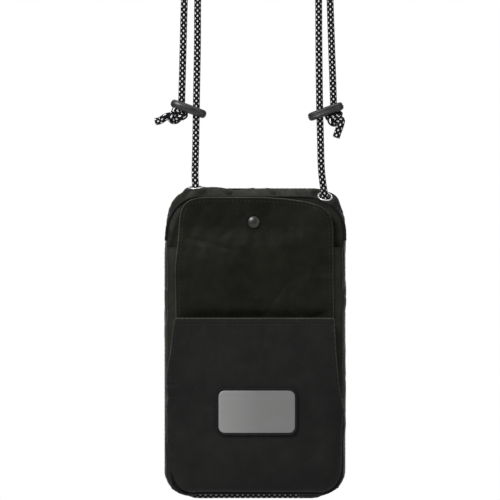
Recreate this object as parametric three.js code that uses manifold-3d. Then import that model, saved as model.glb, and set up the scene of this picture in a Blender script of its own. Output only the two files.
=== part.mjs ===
// Neck pouch wallet. Millimetres, +Z up, the front of the pouch faces -Y.
// Everything is laid out with the underside of the cord at z = 0 and the pouch centred on x = 0,
// then moved so that the inside of the neck loop's top is the origin.
import * as THREE from 'three';
import { mergeVertices } from 'three/addons/utils/BufferGeometryUtils.js';
import Module from 'manifold-3d';

const wasm = await Module();
wasm.setup();

// ---- driving dimensions ----
const LOOP = { x: 1.7, y: 6.0, z: 365.0 };     // inside top of the neck loop above the cord's underside
const GAP = 0.3;                               // clearance between neighbouring pieces
const CORD_D = 4.6;                            // braided cord
const CORD_R = CORD_D / 2;
const SKIN = 1.2;                              // outer fabric with its backing
// outlines of the body at its front edge, its widest line and its back edge; mid is the height of the bottom
// where it is drawn up between the cord's two slots
const FRONT = { hw: 56.3, z0: 4.6, z1: 192.0, rt: 20, rb: 13, mid: 5.2 };
const CROWN = { hw: 58.0, z0: 2.5, z1: 199.0, rt: 20, rb: 15, mid: 5.2 };
const BACK = { hw: 56.6, z0: 3.8, z1: 197.2, rt: 19, rb: 14, mid: 5.2 };
const Y_FRONT = -1.1, Y_CROWN = 8.0, Y_BACK = 11.5;
const PARTITION = [-2.6, -1.4];                // front and rear face of the partition
const BACK_PANEL = [11.8, 13.0];
const FLAP_HINGE_Z = 159.3;                    // where the front panel's free top begins
const FRONT_FULL = -9.3, FRONT_SEAM = -3.5;    // middle of the front panel: full depth, sewn edge
const SLIP_FULL = -15.5, SLIP_SEAM = -5.2;     // the same for the slip pocket
const SLIP_TOP = 116.0;
const SNAP = { x: -0.8, z: 177.0, r: 3.75 };
const LABEL = { x: 1.1, z: 56.2, w: 49.2, h: 27.8, rim: 1.6, r: 4.2 };
const EYELET = { hole: 3.5, barrel: 3.8, flange: 4.8, cut: 4.15 };
const EYE_R = { at: [44.8, 4.3, 193.0], n: [0.1, -0.56, 0.82], seat: 10.5 };   // seat: radius of the fabric drawn flat round it
const EYE_L = { at: [-38.0, 6.3, 198.8], n: [-0.04, -0.18, 0.98], seat: 8.4 };
const ARCH_Z = 325.0;                          // where the strands run into the neck loop's arch
const STOP_L = { at: [-42.6, 8.5, 249.6], tilt: -20 };
const STOP_R = { at: [45.2, 3.3, 247.7], tilt: 20 };
const STOPPER = { l: 24.0, w: 12.0, t: 5.8 };
const ZIP_Z = 175.0, ZIP_HALF = 42.0, ZIP_PITCH = 3.0;

// ---- materials ----
const mat = (hex, rough, metal = 0) => new THREE.MeshStandardMaterial({ color: hex, roughness: rough, metalness: metal });
const FABRIC = '#23241f', LINING = '#3b3c3a', TRIM = '#161616', BRAID = '#2c2c2b', STEEL = '#b9bbbd', GUN = '#2d2e30', PLATE = '#7c7d7f', PLASTIC = '#171718', FOAM = '#55565a';

const group = new THREE.Group();
group.name = 'neck_pouch_wallet';

function add(name, geometry, hex, rough = 0.8, metal = 0) {
  geometry.translate(-LOOP.x, -LOOP.y, -LOOP.z);
  const mesh = new THREE.Mesh(geometry, mat(hex, rough, metal));
  mesh.name = name;
  group.add(mesh);
  return mesh;
}

// ---- small helpers ----
const lerp = (a, b, t) => a + (b - a) * t;
const clamp = (t) => Math.min(1, Math.max(0, t));
const smooth = (a, b, x) => { const t = clamp((x - a) / (b - a)); return t * t * (3 - 2 * t); };
const mixOutline = (a, b, t) => Object.fromEntries(Object.keys(a).map((k) => [k, lerp(a[k], b[k], t)]));
const unit = (v) => { const l = Math.hypot(...v); return v.map((c) => c / l); };
const interp = (table, x) => {
  if (x <= table[0][0]) return table[0][1];
  for (let i = 1; i < table.length; i++) if (x <= table[i][0]) return lerp(table[i - 1][1], table[i][1], (x - table[i - 1][0]) / (table[i][0] - table[i - 1][0]));
  return table[table.length - 1][1];
};

function fromTriangles(points, faces) {
  let volume = 0;
  for (const [a, b, c] of faces) {
    const p = points[a], q = points[b], r = points[c];
    volume += p[0] * (q[1] * r[2] - q[2] * r[1]) + p[1] * (q[2] * r[0] - q[0] * r[2]) + p[2] * (q[0] * r[1] - q[1] * r[0]);
  }
  const geometry = new THREE.BufferGeometry();
  geometry.setAttribute('position', new THREE.Float32BufferAttribute(points.flat(), 3));
  geometry.setIndex((volume < 0 ? faces.map(([a, b, c]) => [a, c, b]) : faces).flat());
  return geometry;
}

// A closed slab between two grids of points. ring: the columns close on themselves.
function slab(P, Q, ring = false) {
  const m = P.length, n = P[0].length, points = [...P.flat(), ...Q.flat()], faces = [];
  const p = (i, j) => i * n + (j % n), q = (i, j) => m * n + i * n + (j % n);
  const quad = (a, b, c, d) => faces.push([a, b, c], [a, c, d]);
  const cols = ring ? n : n - 1;
  for (let i = 0; i < m - 1; i++) for (let j = 0; j < cols; j++) {
    quad(p(i, j), p(i + 1, j), p(i + 1, j + 1), p(i, j + 1));
    quad(q(i, j), q(i, j + 1), q(i + 1, j + 1), q(i + 1, j));
  }
  for (let j = 0; j < cols; j++) {
    quad(p(0, j), p(0, j + 1), q(0, j + 1), q(0, j));
    quad(p(m - 1, j), q(m - 1, j), q(m - 1, j + 1), p(m - 1, j + 1));
  }
  if (!ring) for (let i = 0; i < m - 1; i++) {
    quad(p(i, 0), q(i, 0), q(i + 1, 0), p(i + 1, 0));
    quad(p(i, n - 1), p(i + 1, n - 1), q(i + 1, n - 1), q(i, n - 1));
  }
  return fromTriangles(points, faces);
}

// ---- booleans ----
function toManifold(geometry) {
  let g = geometry.clone();
  g.deleteAttribute('normal');
  g.deleteAttribute('uv');
  g = mergeVertices(g, 1e-4);
  return new wasm.Manifold(new wasm.Mesh({ numProp: 3, vertProperties: new Float32Array(g.attributes.position.array), triVerts: new Uint32Array(g.index.array) }));
}
function fromManifold(m) {
  const mesh = m.getMesh();
  const g = new THREE.BufferGeometry();
  g.setAttribute('position', new THREE.BufferAttribute(new Float32Array(mesh.vertProperties), 3));
  g.setIndex(new THREE.BufferAttribute(new Uint32Array(mesh.triVerts), 1));
  return g;
}
const cut = (a, ...tools) => fromManifold(tools.reduce((m, t) => m.subtract(toManifold(t)), toManifold(a)));
const join = (a, ...more) => fromManifold(more.reduce((m, t) => m.add(toManifold(t)), toManifold(a)));
function box(x0, x1, y0, y1, z0, z1) {
  const g = new THREE.BoxGeometry(x1 - x0, y1 - y0, z1 - z0);
  g.translate((x0 + x1) / 2, (y0 + y1) / 2, (z0 + z1) / 2);
  return g;
}
// A cylinder about a point along a direction.
function rod(at, dir, r, length, sides = 20) {
  const g = new THREE.CylinderGeometry(r, r, length, sides);
  g.applyQuaternion(new THREE.Quaternion().setFromUnitVectors(new THREE.Vector3(0, 1, 0), new THREE.Vector3(...unit(dir))));
  g.translate(...at);
  return g;
}
// A turned piece: [radius, height along dir] pairs from a point.
function turned(at, dir, profile, sides = 24) {
  const g = new THREE.LatheGeometry(profile.map(([r, s]) => new THREE.Vector2(r, s)), sides);
  g.deleteAttribute('normal');
  g.deleteAttribute('uv');
  const m = mergeVertices(g, 1e-4), pos = m.attributes.position, idx = m.index.array, faces = [], points = [];
  for (let i = 0; i < pos.count; i++) points.push([pos.getX(i), pos.getY(i), pos.getZ(i)]);
  for (let i = 0; i < idx.length; i += 3) if (new Set([idx[i], idx[i + 1], idx[i + 2]]).size === 3) faces.push([idx[i], idx[i + 1], idx[i + 2]]);
  const out = fromTriangles(points, faces);
  out.applyQuaternion(new THREE.Quaternion().setFromUnitVectors(new THREE.Vector3(0, 1, 0), new THREE.Vector3(...unit(dir))));
  out.translate(...at);
  return out;
}
// A round cord through points.
function cord(points, steps, r = CORD_R, sides = 8) {
  const ring = [];
  for (let i = 0; i < sides; i++) ring.push(new THREE.Vector2(r * Math.cos(2 * Math.PI * i / sides), r * Math.sin(2 * Math.PI * i / sides)));
  const path = new THREE.CatmullRomCurve3(points.map((p) => new THREE.Vector3(...p)), false, 'centripetal');
  path.arcLengthDivisions = 800;
  return new THREE.ExtrudeGeometry(new THREE.Shape(ring), { steps, bevelEnabled: false, extrudePath: path });
}
// A rounded rectangle in x and z, as points.
function rounded(cx, cz, w, h, r, seg = 5) {
  const out = [];
  for (const [sx, sz, a0] of [[1, 1, 0], [-1, 1, 90], [-1, -1, 180], [1, -1, 270]])
    for (let i = 0; i <= seg; i++) {
      const a = (a0 + 90 * i / seg) * Math.PI / 180;
      out.push([cx + sx * (w / 2 - r) + r * Math.cos(a), cz + sz * (h / 2 - r) + r * Math.sin(a)]);
    }
  return out;
}
// Points on a straight run between their neighbours say nothing about the outline.
function corners(outline) {
  let pts = outline;
  for (let pass = 0; pass < 3; pass++) pts = pts.filter((p, i) => {
    const a = pts[(i - 1 + pts.length) % pts.length], b = pts[(i + 1) % pts.length];
    const ux = p[0] - a[0], uz = p[1] - a[1], vx = b[0] - p[0], vz = b[1] - p[1];
    return Math.hypot(ux, uz) > 1e-6 && Math.abs(ux * vz - uz * vx) > 1e-4 * Math.hypot(ux, uz) * Math.hypot(vx, vz);
  });
  return pts;
}
// A plate with its outline in x and z between two depths.
function plate(outline, y0, y1, holes = []) {
  const turn = (pts, way) => (Math.sign(THREE.ShapeUtils.area(pts.map(([x, z]) => new THREE.Vector2(x, z)))) === way ? pts : [...pts].reverse());
  outline = turn(corners(outline), 1);
  holes = holes.map((h) => turn(corners(h), -1));
  const shape = new THREE.Shape(outline.map(([x, z]) => new THREE.Vector2(x, z)));
  for (const h of holes) shape.holes.push(new THREE.Path(h.map(([x, z]) => new THREE.Vector2(x, z))));
  const g = new THREE.ExtrudeGeometry(shape, { depth: y1 - y0, bevelEnabled: false });
  g.rotateX(Math.PI / 2);
  g.translate(0, y1, 0);
  return g;
}

// ---- the body's outline ----
function lift(o, x, z) {
  const m = 1 - smooth(37, 45, Math.abs(x));
  return Math.max(0, (o.mid ?? o.z0) - o.z0) * m * (1 - smooth(o.z0 + 3, o.z0 + 12, z));
}
function side(o, part, seg = 8, straight = 12) {
  const out = [];
  const arc = (cx, cz, r, a0, a1) => { for (let i = 0; i <= seg; i++) { const a = lerp(a0, a1, i / seg) * Math.PI / 180; out.push([cx + r * Math.cos(a), cz + r * Math.sin(a)]); } };
  const line = (x0, z0, x1, z1, n) => { for (let i = 1; i < n; i++) out.push([lerp(x0, x1, i / n), lerp(z0, z1, i / n)]); };
  if (part === 'top') {
    arc(-o.hw + o.rt, o.z1 - o.rt, o.rt, 180, 90);
    line(-o.hw + o.rt, o.z1, o.hw - o.rt, o.z1, straight);
    arc(o.hw - o.rt, o.z1 - o.rt, o.rt, 90, 0);
  } else if (part === 'bottom') {
    arc(-o.hw + o.rb, o.z0 + o.rb, o.rb, 180, 270);
    line(-o.hw + o.rb, o.z0, o.hw - o.rb, o.z0, straight);
    arc(o.hw - o.rb, o.z0 + o.rb, o.rb, 270, 360);
  } else {
    const s = part === 'left' ? -1 : 1;
    for (let i = 0; i <= 4; i++) out.push([s * o.hw, lerp(o.z0 + o.rb, o.z1 - o.rt, i / 4)]);
  }
  return out.map(([x, z]) => [x, z + lift(o, x, z)]);
}
const grown = (o, d) => ({ hw: o.hw + d, z0: o.z0 - d, z1: o.z1 + d, rt: o.rt + d, rb: o.rb + d, mid: (o.mid ?? o.z0) - d });
const fullLoop = (o, seg = 8, straight = 12) => {
  const t = side(o, 'top', seg, straight), b = side(o, 'bottom', seg, straight);
  return [...t, ...b.reverse()];
};
const STATIONS = [[Y_FRONT, FRONT], [1.2, mixOutline(FRONT, CROWN, 0.45)], [4.2, mixOutline(FRONT, CROWN, 0.82)], [Y_CROWN, CROWN], [Y_BACK, BACK]];
function band(part, trim = [0, 0], seg, straight) {
  const outer = [], inner = [];
  for (const [y, o] of STATIONS) {
    const a = side(o, part, seg, straight), b = side(grown(o, -SKIN), part, seg, straight);
    outer.push(a.map(([x, z]) => [x, y, z]));
    inner.push(b.map(([x, z]) => [x, y, z]));
  }
  if (trim[0]) for (const grid of [outer, inner]) for (const row of grid) { row[0][2] += trim[0]; row[row.length - 1][2] += trim[1]; }
  return [outer, inner];
}
// Lay the fabric flat against an eyelet's face.
function seat(grid, eye, depth) {
  const n = unit(eye.n);
  for (const row of grid) for (const p of row) {
    const d = [p[0] - eye.at[0], p[1] - eye.at[1], p[2] - eye.at[2]];
    const s = d[0] * n[0] + d[1] * n[1] + d[2] * n[2];
    const flat = Math.hypot(d[0] - s * n[0], d[1] - s * n[1], d[2] - s * n[2]);
    if (Math.abs(s) > 9) continue;
    const w = 1 - smooth(5.6, eye.seat, flat);
    for (let k = 0; k < 3; k++) p[k] -= (s + depth) * n[k] * w;
  }
}

// side, bottom and top strips of the body
{
  const [lo, li] = band('left');
  const pull = (grid, d0, d1) => grid.forEach((row) => { row[0][2] += d0; row[row.length - 1][2] -= d1; });
  pull(lo, 0.15, 0.15); pull(li, 0.15, 0.15);
  // both grids have to end on the same heights, because the inner outline's corners start elsewhere
  const level = (a, b) => a.forEach((row, i) => row.forEach((p, j) => { b[i][j][2] = p[2]; }));
  level(lo, li);
  add('gusset_left', slab(lo, li), FABRIC);
  const [ro, ri] = band('right');
  pull(ro, 0.15, 0.15); level(ro, ri);
  add('gusset_right', slab(ro, ri), FABRIC);
  const [bo, bi] = band('bottom', [0, 0], 8, 16);
  const ends = (grid, d) => grid.forEach((row) => { row[0][2] += d; row[row.length - 1][2] += d; });
  ends(bo, -0.15); ends(bi, -0.15);
  const slot = (s) => box(s > 0 ? 36.2 : -51.8, s > 0 ? 51.8 : -36.2, 3.3, 9.7, -3, 13);
  add('gusset_bottom', cut(slab(bo, bi), slot(1), slot(-1)), FABRIC);
  const [to, ti] = band('top', [0, 0], 9, 20);
  ends(to, 0.15); ends(ti, 0.15);
  for (const eye of [EYE_R, EYE_L]) { seat(to, eye, 0); seat(ti, eye, SKIN); }
  const hole = (eye) => rod(eye.at, eye.n, EYELET.cut, 7, 20);
  add('top_gusset', cut(slab(to, ti), hole(EYE_R), hole(EYE_L)), FABRIC);
}

// eyelets, each a flanged barrel with a washer inside
for (const [tag, eye] of [['left', EYE_L], ['right', EYE_R]]) {
  const e = EYELET;
  add(`eyelet_${tag}`, turned(eye.at, eye.n, [[e.hole, -2.3], [e.hole, 0.55], [e.hole + 0.35, 0.95], [e.flange - 0.4, 0.95], [e.flange, 0.6], [e.flange, GAP], [e.barrel, GAP], [e.barrel, -2.3], [e.hole, -2.3]], 20), STEEL, 0.28, 1);
  add(`eyelet_washer_${tag}`, turned(eye.at, eye.n, [[e.barrel + 0.2, -2.4], [e.barrel + 0.2, -1.9], [e.flange, -1.9], [e.flange, -2.4], [e.barrel + 0.2, -2.4]], 20), STEEL, 0.35, 1);
}

// back panel with the zip's slot, partition, padding and linings
{
  const back = plate(fullLoop(grown(BACK, -0.2)), BACK_PANEL[0], BACK_PANEL[1], [rounded(0, ZIP_Z, 2 * ZIP_HALF + 6, 6.6, 1.2, 3).reverse()]);
  add('back_panel', back, FABRIC);
  const stud = rounded(SNAP.x, SNAP.z, 2.6, 2.6, 1.25, 3).reverse();
  add('partition_panel', plate(fullLoop(grown(FRONT, -0.3)), PARTITION[0], PARTITION[1], [stud]), FABRIC);
  const inner = { hw: 53.2, z0: 12, z1: 186, rt: 14, rb: 10 };
  add('lining_front', plate(fullLoop(inner, 5, 4), -1.1, -0.6, [rounded(SNAP.x, SNAP.z, 8.6, 8.6, 4.2, 3).reverse()]), LINING);
  const low = { hw: 53.2, z0: 12, z1: 160, rt: 3, rb: 10 };
  add('back_padding', plate(fullLoop(grown(low, -1.5), 4, 4), 10.2, 11.5), FOAM, 0.95);
  add('lining_back', plate(fullLoop(low, 4, 4), 9.4, 9.9), LINING);
}

// piping along the three seams
function piping(outline, y, r, sides = 6, closed = true) {
  const n = outline.length, rows = [];
  for (let i = 0; i < n; i++) {
    const a = outline[closed ? (i - 1 + n) % n : Math.max(0, i - 1)], b = outline[closed ? (i + 1) % n : Math.min(n - 1, i + 1)];
    const t = unit([b[0] - a[0], b[1] - a[1]]), nx = t[1], nz = -t[0];
    const ring = [];
    for (let k = 0; k < sides; k++) { const c = r * Math.cos(2 * Math.PI * k / sides), s = r * Math.sin(2 * Math.PI * k / sides); ring.push([outline[i][0] + nx * c, y + s, outline[i][1] + nz * c]); }
    rows.push(ring);
  }
  const points = rows.flat(), faces = [], id = (i, k) => (i % n) * sides + (k % sides);
  for (let i = 0; i < (closed ? n : n - 1); i++) for (let k = 0; k < sides; k++) faces.push([id(i, k), id(i + 1, k), id(i + 1, k + 1)], [id(i, k), id(i + 1, k + 1), id(i, k + 1)]);
  if (!closed) for (let k = 1; k < sides - 1; k++) faces.push([id(0, 0), id(0, k), id(0, k + 1)], [id(n - 1, 0), id(n - 1, k + 1), id(n - 1, k)]);
  return fromTriangles(points, faces);
}
{
  add('back_seam_piping', piping(fullLoop(grown(BACK, 1.0), 8, 10), 12.6, 0.9), TRIM);
  const o = grown(FRONT, 1.1);
  const top = side(o, 'top', 9, 10);
  add('top_seam_piping', piping([[-o.hw, 164.5], ...top, [o.hw, 164.5]], -1.9, 0.9, 6, false), TRIM);
}

// ---- front layers ----
const round = (t) => Math.sqrt(Math.max(0, 1 - (1 - clamp(t)) ** 2));
const slipHalf = (z) => interp([[0, 54.3], [30, 54.6], [50, 55.4], [70, 55.0], [84, 53.6], [98, 51.2], [116, 49.9]], z);
const frontHalf = (z) => interp([[0, 54.0], [40, 54.0], [70, 51.5], [95, 49.9], [160, 49.4]], z);
const bottomEdge = (x, hw) => { const r = 14, z0 = 5.0 + 0.5 * (1 - smooth(37, 45, Math.abs(x))), e = Math.max(0, Math.abs(x) - (hw - r)); return z0 + r - Math.sqrt(Math.max(0, r * r - e * e)); };
function fullness(x, z, hw) {
  const up = round((z - bottomEdge(x, hw)) / 30);
  const across = lerp(round((hw - Math.abs(x)) / 13 + 0.02), 1, smooth(44, 66, z));
  return up * across;
}
const frontY = (x, z) => lerp(FRONT_SEAM, FRONT_FULL, fullness(x, z, slipHalf(z)));
const slipY = (x, z) => lerp(SLIP_SEAM, SLIP_FULL, fullness(x, z, slipHalf(z)));
const spacing = (n) => Array.from({ length: n + 1 }, (_, i) => Math.sin((i / n - 0.5) * Math.PI) * 0.35 + (i / n - 0.5) * 1.3);
function layer(us, vs, half, zBottom, zTop, yMid) {
  const P = [], Q = [];
  for (const v of vs) {
    const p = [], q = [];
    for (const u of us) {
      const x0 = u * half(15), z = lerp(zBottom(x0), zTop(x0), v), x = u * half(z);
      const y = yMid(x, z);
      p.push([x, y - SKIN / 2, z]);
      q.push([x, y + SKIN / 2, z]);
    }
    P.push(p); Q.push(q);
  }
  return slab(P, Q);
}
{
  const us = spacing(16);
  const rise = [0, 0.03, 0.07, 0.13, 0.2, 0.3, 0.42, 0.56, 0.7, 0.85, 1];
  add('front_panel', layer(us, rise.map((v) => v * 0.999), frontHalf, (x) => bottomEdge(x, 54) + 0.2, () => FLAP_HINGE_Z - 0.15, frontY), FABRIC);
  add('slip_pocket', layer(us, [0, 0.04, 0.09, 0.16, 0.25, 0.36, 0.5, 0.65, 0.8, 0.9, 1], slipHalf, (x) => bottomEdge(x, 54.3), () => SLIP_TOP - 3.0, slipY), FABRIC);
  // rolled hem along the slip pocket's mouth
  const hem = (x) => [x * 49.9, SLIP_FULL, SLIP_TOP - 1.3];
  const P = [], Q = [];
  for (const [dy, z0, z1] of [[-0.9, SLIP_TOP - 2.7, SLIP_TOP]]) {
    const xs = [-49.9, -30, -10, 10, 30, 49.9];
    P.push(xs.map((x) => [x, SLIP_FULL - 0.9, z0]), xs.map((x) => [x, SLIP_FULL - 0.9, z1 - 0.5]), xs.map((x) => [x, SLIP_FULL - 0.3, z1]));
    Q.push(xs.map((x) => [x, SLIP_FULL + 0.9, z0]), xs.map((x) => [x, SLIP_FULL + 0.9, z1 - 0.5]), xs.map((x) => [x, SLIP_FULL + 0.3, z1]));
  }
  add('slip_pocket_hem', slab(P, Q), FABRIC);
}

// the front panel's free top, which folds forward at its hinge line
const flapTop = (x) => interp([[-49.4, 174], [-48.6, 180.5], [-46.8, 185.5], [-43.5, 189.3], [-38, 191.8], [-30, 192.4], [5, 192.4], [18, 191.6], [32, 189.8], [40, 187.6], [45, 184.6], [48, 180.5], [49.4, 174]], x);
const FLAP_HALF = 48.2;
const flapY = (z) => interp([[FLAP_HINGE_Z, FRONT_FULL], [162, -9.2], [166, -8.4], [170, -7.5], [172.4, -7.2], [193, -7.2]], z);
{
  const us = [-1, -0.985, -0.96, -0.92, -0.87, -0.8, -0.65, -0.4, -0.13, 0.1, 0.35, 0.6, 0.76, 0.86, 0.92, 0.96, 0.985, 1];
  const P = [], Q = [];
  for (const v of [0, 0.09, 0.21, 0.33, 0.4, 0.7, 1]) {
    P.push(us.map((u) => { const x = u * FLAP_HALF, z = lerp(FLAP_HINGE_Z + 0.15, flapTop(u * 49.4) - 1.15, v); return [x, flapY(z) - SKIN / 2, z]; }));
    Q.push(us.map((u) => { const x = u * FLAP_HALF, z = lerp(FLAP_HINGE_Z + 0.15, flapTop(u * 49.4) - 1.15, v); return [x, flapY(z) + SKIN / 2, z]; }));
  }
  add('flap_panel', cut(slab(P, Q), rod([SNAP.x, -7.2, SNAP.z], [0, 1, 0], 1.3, 6, 12)), FABRIC);
  // binding along the flap's free edge
  const xs = [-48.9, -47.6, -45.2, -41, -36, -28, -14, 0, 10, 20, 30, 38, 43, 46.4, 48.2];
  const edge = xs.map((x) => [x, flapTop(x) + 0.15]);
  add('flap_binding', piping(edge, -7.2, 0.85, 6, false), TRIM);
}

// snap fastener: cap and socket on the flap, stud and rivet on the partition
{
  const s = SNAP, front = flapY(s.z) - SKIN / 2;
  add('snap_cap', turned([s.x, front - GAP, s.z], [0, -1, 0], [[0, -2.2], [0.9, -2.2], [0.9, 0], [s.r - 0.1, 0], [s.r, 0.35], [s.r - 0.35, 0.9], [s.r - 1.3, 1.4], [1.1, 1.65], [0, 1.7]], 24), GUN, 0.3, 1);
  add('snap_socket', turned([s.x, front + SKIN + GAP, s.z], [0, 1, 0], [[1.15, 0], [1.15, 0.4], [2.3, 0.5], [2.3, 1.7], [3.4, 1.7], [3.9, 1.3], [3.9, 0.3], [3.6, 0], [1.15, 0]], 20), STEEL, 0.35, 1);
  add('snap_stud', turned([s.x, PARTITION[0] - GAP, s.z], [0, -1, 0], [[0, -1.6], [0.8, -1.6], [0.8, 0], [3.9, 0], [3.9, 0.5], [2.0, 0.8], [1.55, 1.1], [1.8, 1.6], [1.4, 2.0], [0, 2.1]], 20), STEEL, 0.35, 1);
  add('snap_rivet', turned([s.x, PARTITION[1] + GAP, s.z], [0, 1, 0], [[0, 0.3], [1.1, 0.3], [1.1, 0], [3.6, 0], [3.9, 0.3], [3.4, 0.8], [0, 1.0]], 18), STEEL, 0.35, 1);
}

// label plate in its raised frame
{
  const L = LABEL, y = SLIP_FULL - SKIN / 2 - GAP;
  add('label_frame', plate(rounded(L.x, L.z, L.w + 2 * L.rim, L.h + 2 * L.rim, L.r + L.rim, 5), y - 1.3, y, [rounded(L.x, L.z, L.w + 0.5, L.h + 0.5, L.r + 0.25, 5).reverse()]), TRIM, 0.7);
  add('label_plate', plate(rounded(L.x, L.z, L.w, L.h, L.r, 5), y - 0.9, y), PLATE, 0.35, 0.7);
}

// folded side walls of the front pocket and of the slip pocket
function wall(sign, zs, rail) {
  const P = [], Q = [];
  for (const z of zs) {
    const pts = rail(z), p = [], q = [];
    pts.forEach(([x, y], i) => {
      const a = pts[Math.max(0, i - 1)], b = pts[Math.min(pts.length - 1, i + 1)], t = unit([b[0] - a[0], b[1] - a[1]]);
      p.push([sign * (x - t[1] * 0.4), y + t[0] * 0.4, z]);
      q.push([sign * (x + t[1] * 0.4), y - t[0] * 0.4, z]);
    });
    P.push(p); Q.push(q);
  }
  return slab(P, Q);
}
const pocketRail = (z) => {
  const hw = frontHalf(z), y1 = frontY(hw - 0.5, z) + 1.6, y0 = PARTITION[0] - 0.8, d = y0 - y1;
  return [[54.6, y0 + 0.02], [55.9, y0 - 0.25 * d], [55.6, y0 - 0.6 * d], [hw + 1.6, y0 - 0.92 * d], [hw - 1.2, y1 - 0.02]];
};
const slipRail = (z) => {
  const hw = slipHalf(z), fw = frontHalf(z), y1 = slipY(hw - 0.5, z) + 1.35, y0 = frontY(fw - 0.5, z) - 1.35, d = y0 - y1;
  return [[fw - 2.6, y0 + 0.02], [lerp(fw, hw, 0.2) - 0.4, y0 - 0.2 * d], [lerp(fw, hw, 0.5) - 0.1, y0 - 0.55 * d], [hw - 0.9, y0 - 0.85 * d], [hw - 2.6, y1 - 0.02]];
};
for (const [tag, s] of [['left', -1], ['right', 1]]) {
  add(`pocket_gusset_${tag}`, wall(s, [69, 80, 95, 115, 138, 160.5], pocketRail), FABRIC);
  add(`slip_gusset_${tag}`, wall(s, [70, 80, 92, 103, 112.5], slipRail), FABRIC);
}

// piping round the sewn lower edge of the front layers
{
  const pts = [];
  for (const z of [58, 50, 42, 34, 27, 21]) pts.push([-(slipHalf(z) + 1.4), z]);
  const hw = 54.5 + 1.4, r = 15.2, zc = 5.0 - 1.3 + r;
  const arcs = (s, list) => list.forEach((a) => { const t = a * Math.PI / 180; pts.push([s * (hw - r + r * Math.sin(t)), zc - r * Math.cos(t)]); });
  arcs(-1, [82, 66, 50, 34, 18]);
  for (const x of [-40, -34, -20, 0, 20, 34, 40]) pts.push([x, 3.7 + 0.5 * (1 - smooth(37, 45, Math.abs(x)))]);
  arcs(1, [18, 34, 50, 66, 82]);
  for (const z of [21, 27, 34, 42, 50, 58]) pts.push([slipHalf(z) + 1.4, z]);
  add('bottom_seam_piping', piping(pts, -4.3, 0.9, 6, false), TRIM);
}

// sleeves that carry the cord down inside both sides
for (const [tag, s] of [['left', -1], ['right', 1]]) {
  const ring = (h) => rounded(0, 0, 2 * h, 2 * h, h * 0.45, 2);
  const P = [], Q = [];
  for (const z of [24, 158]) {
    P.push(ring(3.5).map(([x, y]) => [s * 48.4 + x, 6.3 + y * 0.85, z]));
    Q.push(ring(3.0).map(([x, y]) => [s * 48.4 + x, 6.3 + y * 0.85, z]));
  }
  add(`cord_sleeve_${tag}`, slab(P, Q, true), LINING);
}

// zip across the back panel
{
  const z = ZIP_Z, h = ZIP_HALF;
  const comb = (up) => {
    const s = up ? 1 : -1, pts = [], off = up ? 0 : ZIP_PITCH / 2;
    const spine = [z + s * 2.4, z + s * 1.1], tip = z - s * 0.7;
    pts.push([-h, spine[0]], [-h, spine[1]]);
    for (let x = -h + 0.9 + off; x < h - 1.6; x += ZIP_PITCH) pts.push([x, spine[1]], [x, tip], [x + 1.2, tip], [x + 1.2, spine[1]]);
    pts.push([h, spine[1]], [h, spine[0]]);
    return up ? pts : pts.reverse();
  };
  add('zip_teeth_upper', plate(comb(true), 11.7, 12.9), GUN, 0.5);
  add('zip_teeth_lower', plate(comb(false), 11.7, 12.9), GUN, 0.5);
  add('zip_tape_upper', box(-h - 4, h + 4, 10.8, 11.4, z + 0.3, z + 9), TRIM);
  add('zip_tape_lower', box(-h - 4, h + 4, 10.8, 11.4, z - 9, z - 0.3), TRIM);
  add('zip_stop_left', box(-h - 2.2, -h - 0.5, 11.7, 13.0, z - 2.2, z + 2.2), STEEL, 0.4, 1);
  add('zip_stop_right', box(h + 0.5, h + 2.2, 11.7, 13.0, z - 2.2, z + 2.2), STEEL, 0.4, 1);
  const x = h - 5.5;
  const body = plate([[x - 5, z - 2.6], [x + 1.5, z - 4.2], [x + 4.2, z - 4.2], [x + 5, z - 3.2], [x + 5, z + 3.2], [x + 4.2, z + 4.2], [x + 1.5, z + 4.2], [x - 5, z + 2.6]], 13.3, 14.05);
  const BAR_Y = 16.4;   // the puller turns about this bar
  add('zip_slider', join(body, box(x - 3.4, x - 2.4, 13.9, BAR_Y + 0.5, z - 0.5, z + 0.5), box(x + 2.4, x + 3.4, 13.9, BAR_Y + 0.5, z - 0.5, z + 0.5), box(x - 3.4, x + 3.4, BAR_Y - 0.5, BAR_Y + 0.5, z - 0.5, z + 0.5)), GUN, 0.35, 1);
  add('zip_puller', cut(join(rod([x, BAR_Y, z], [1, 0, 0], 2.0, 1.4, 18), box(x - 0.7, x + 0.7, BAR_Y - 1.0, BAR_Y + 1.0, z - 4.6, z - 1.2), rod([x, BAR_Y, z - 12], [0, 0, 1], 1.7, 16, 14)), rod([x, BAR_Y, z], [1, 0, 0], 1.15, 3, 14)), GUN, 0.35, 1);
}

// ---- the cord ----
const archA = { x0: -45.0, x1: 40.4, y: 3.0 }, archB = { x0: -36.5, x1: 47.9, y: 9.0 };
const arch = (a, from, to, n) => Array.from({ length: n + 1 }, (_, i) => { const t = lerp(from, to, i / n) * Math.PI / 180, r = (a.x1 - a.x0) / 2; return [(a.x0 + a.x1) / 2 - r * Math.cos(t), a.y, ARCH_Z + r * Math.sin(t)]; });
const outerL = { top: [-45.0, 3.0, ARCH_Z], low: [-46.9, 8.4, 256.8] };
const outerR = { top: [47.9, 9.0, ARCH_Z], low: [50.05, 3.5, 256.8] };
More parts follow.
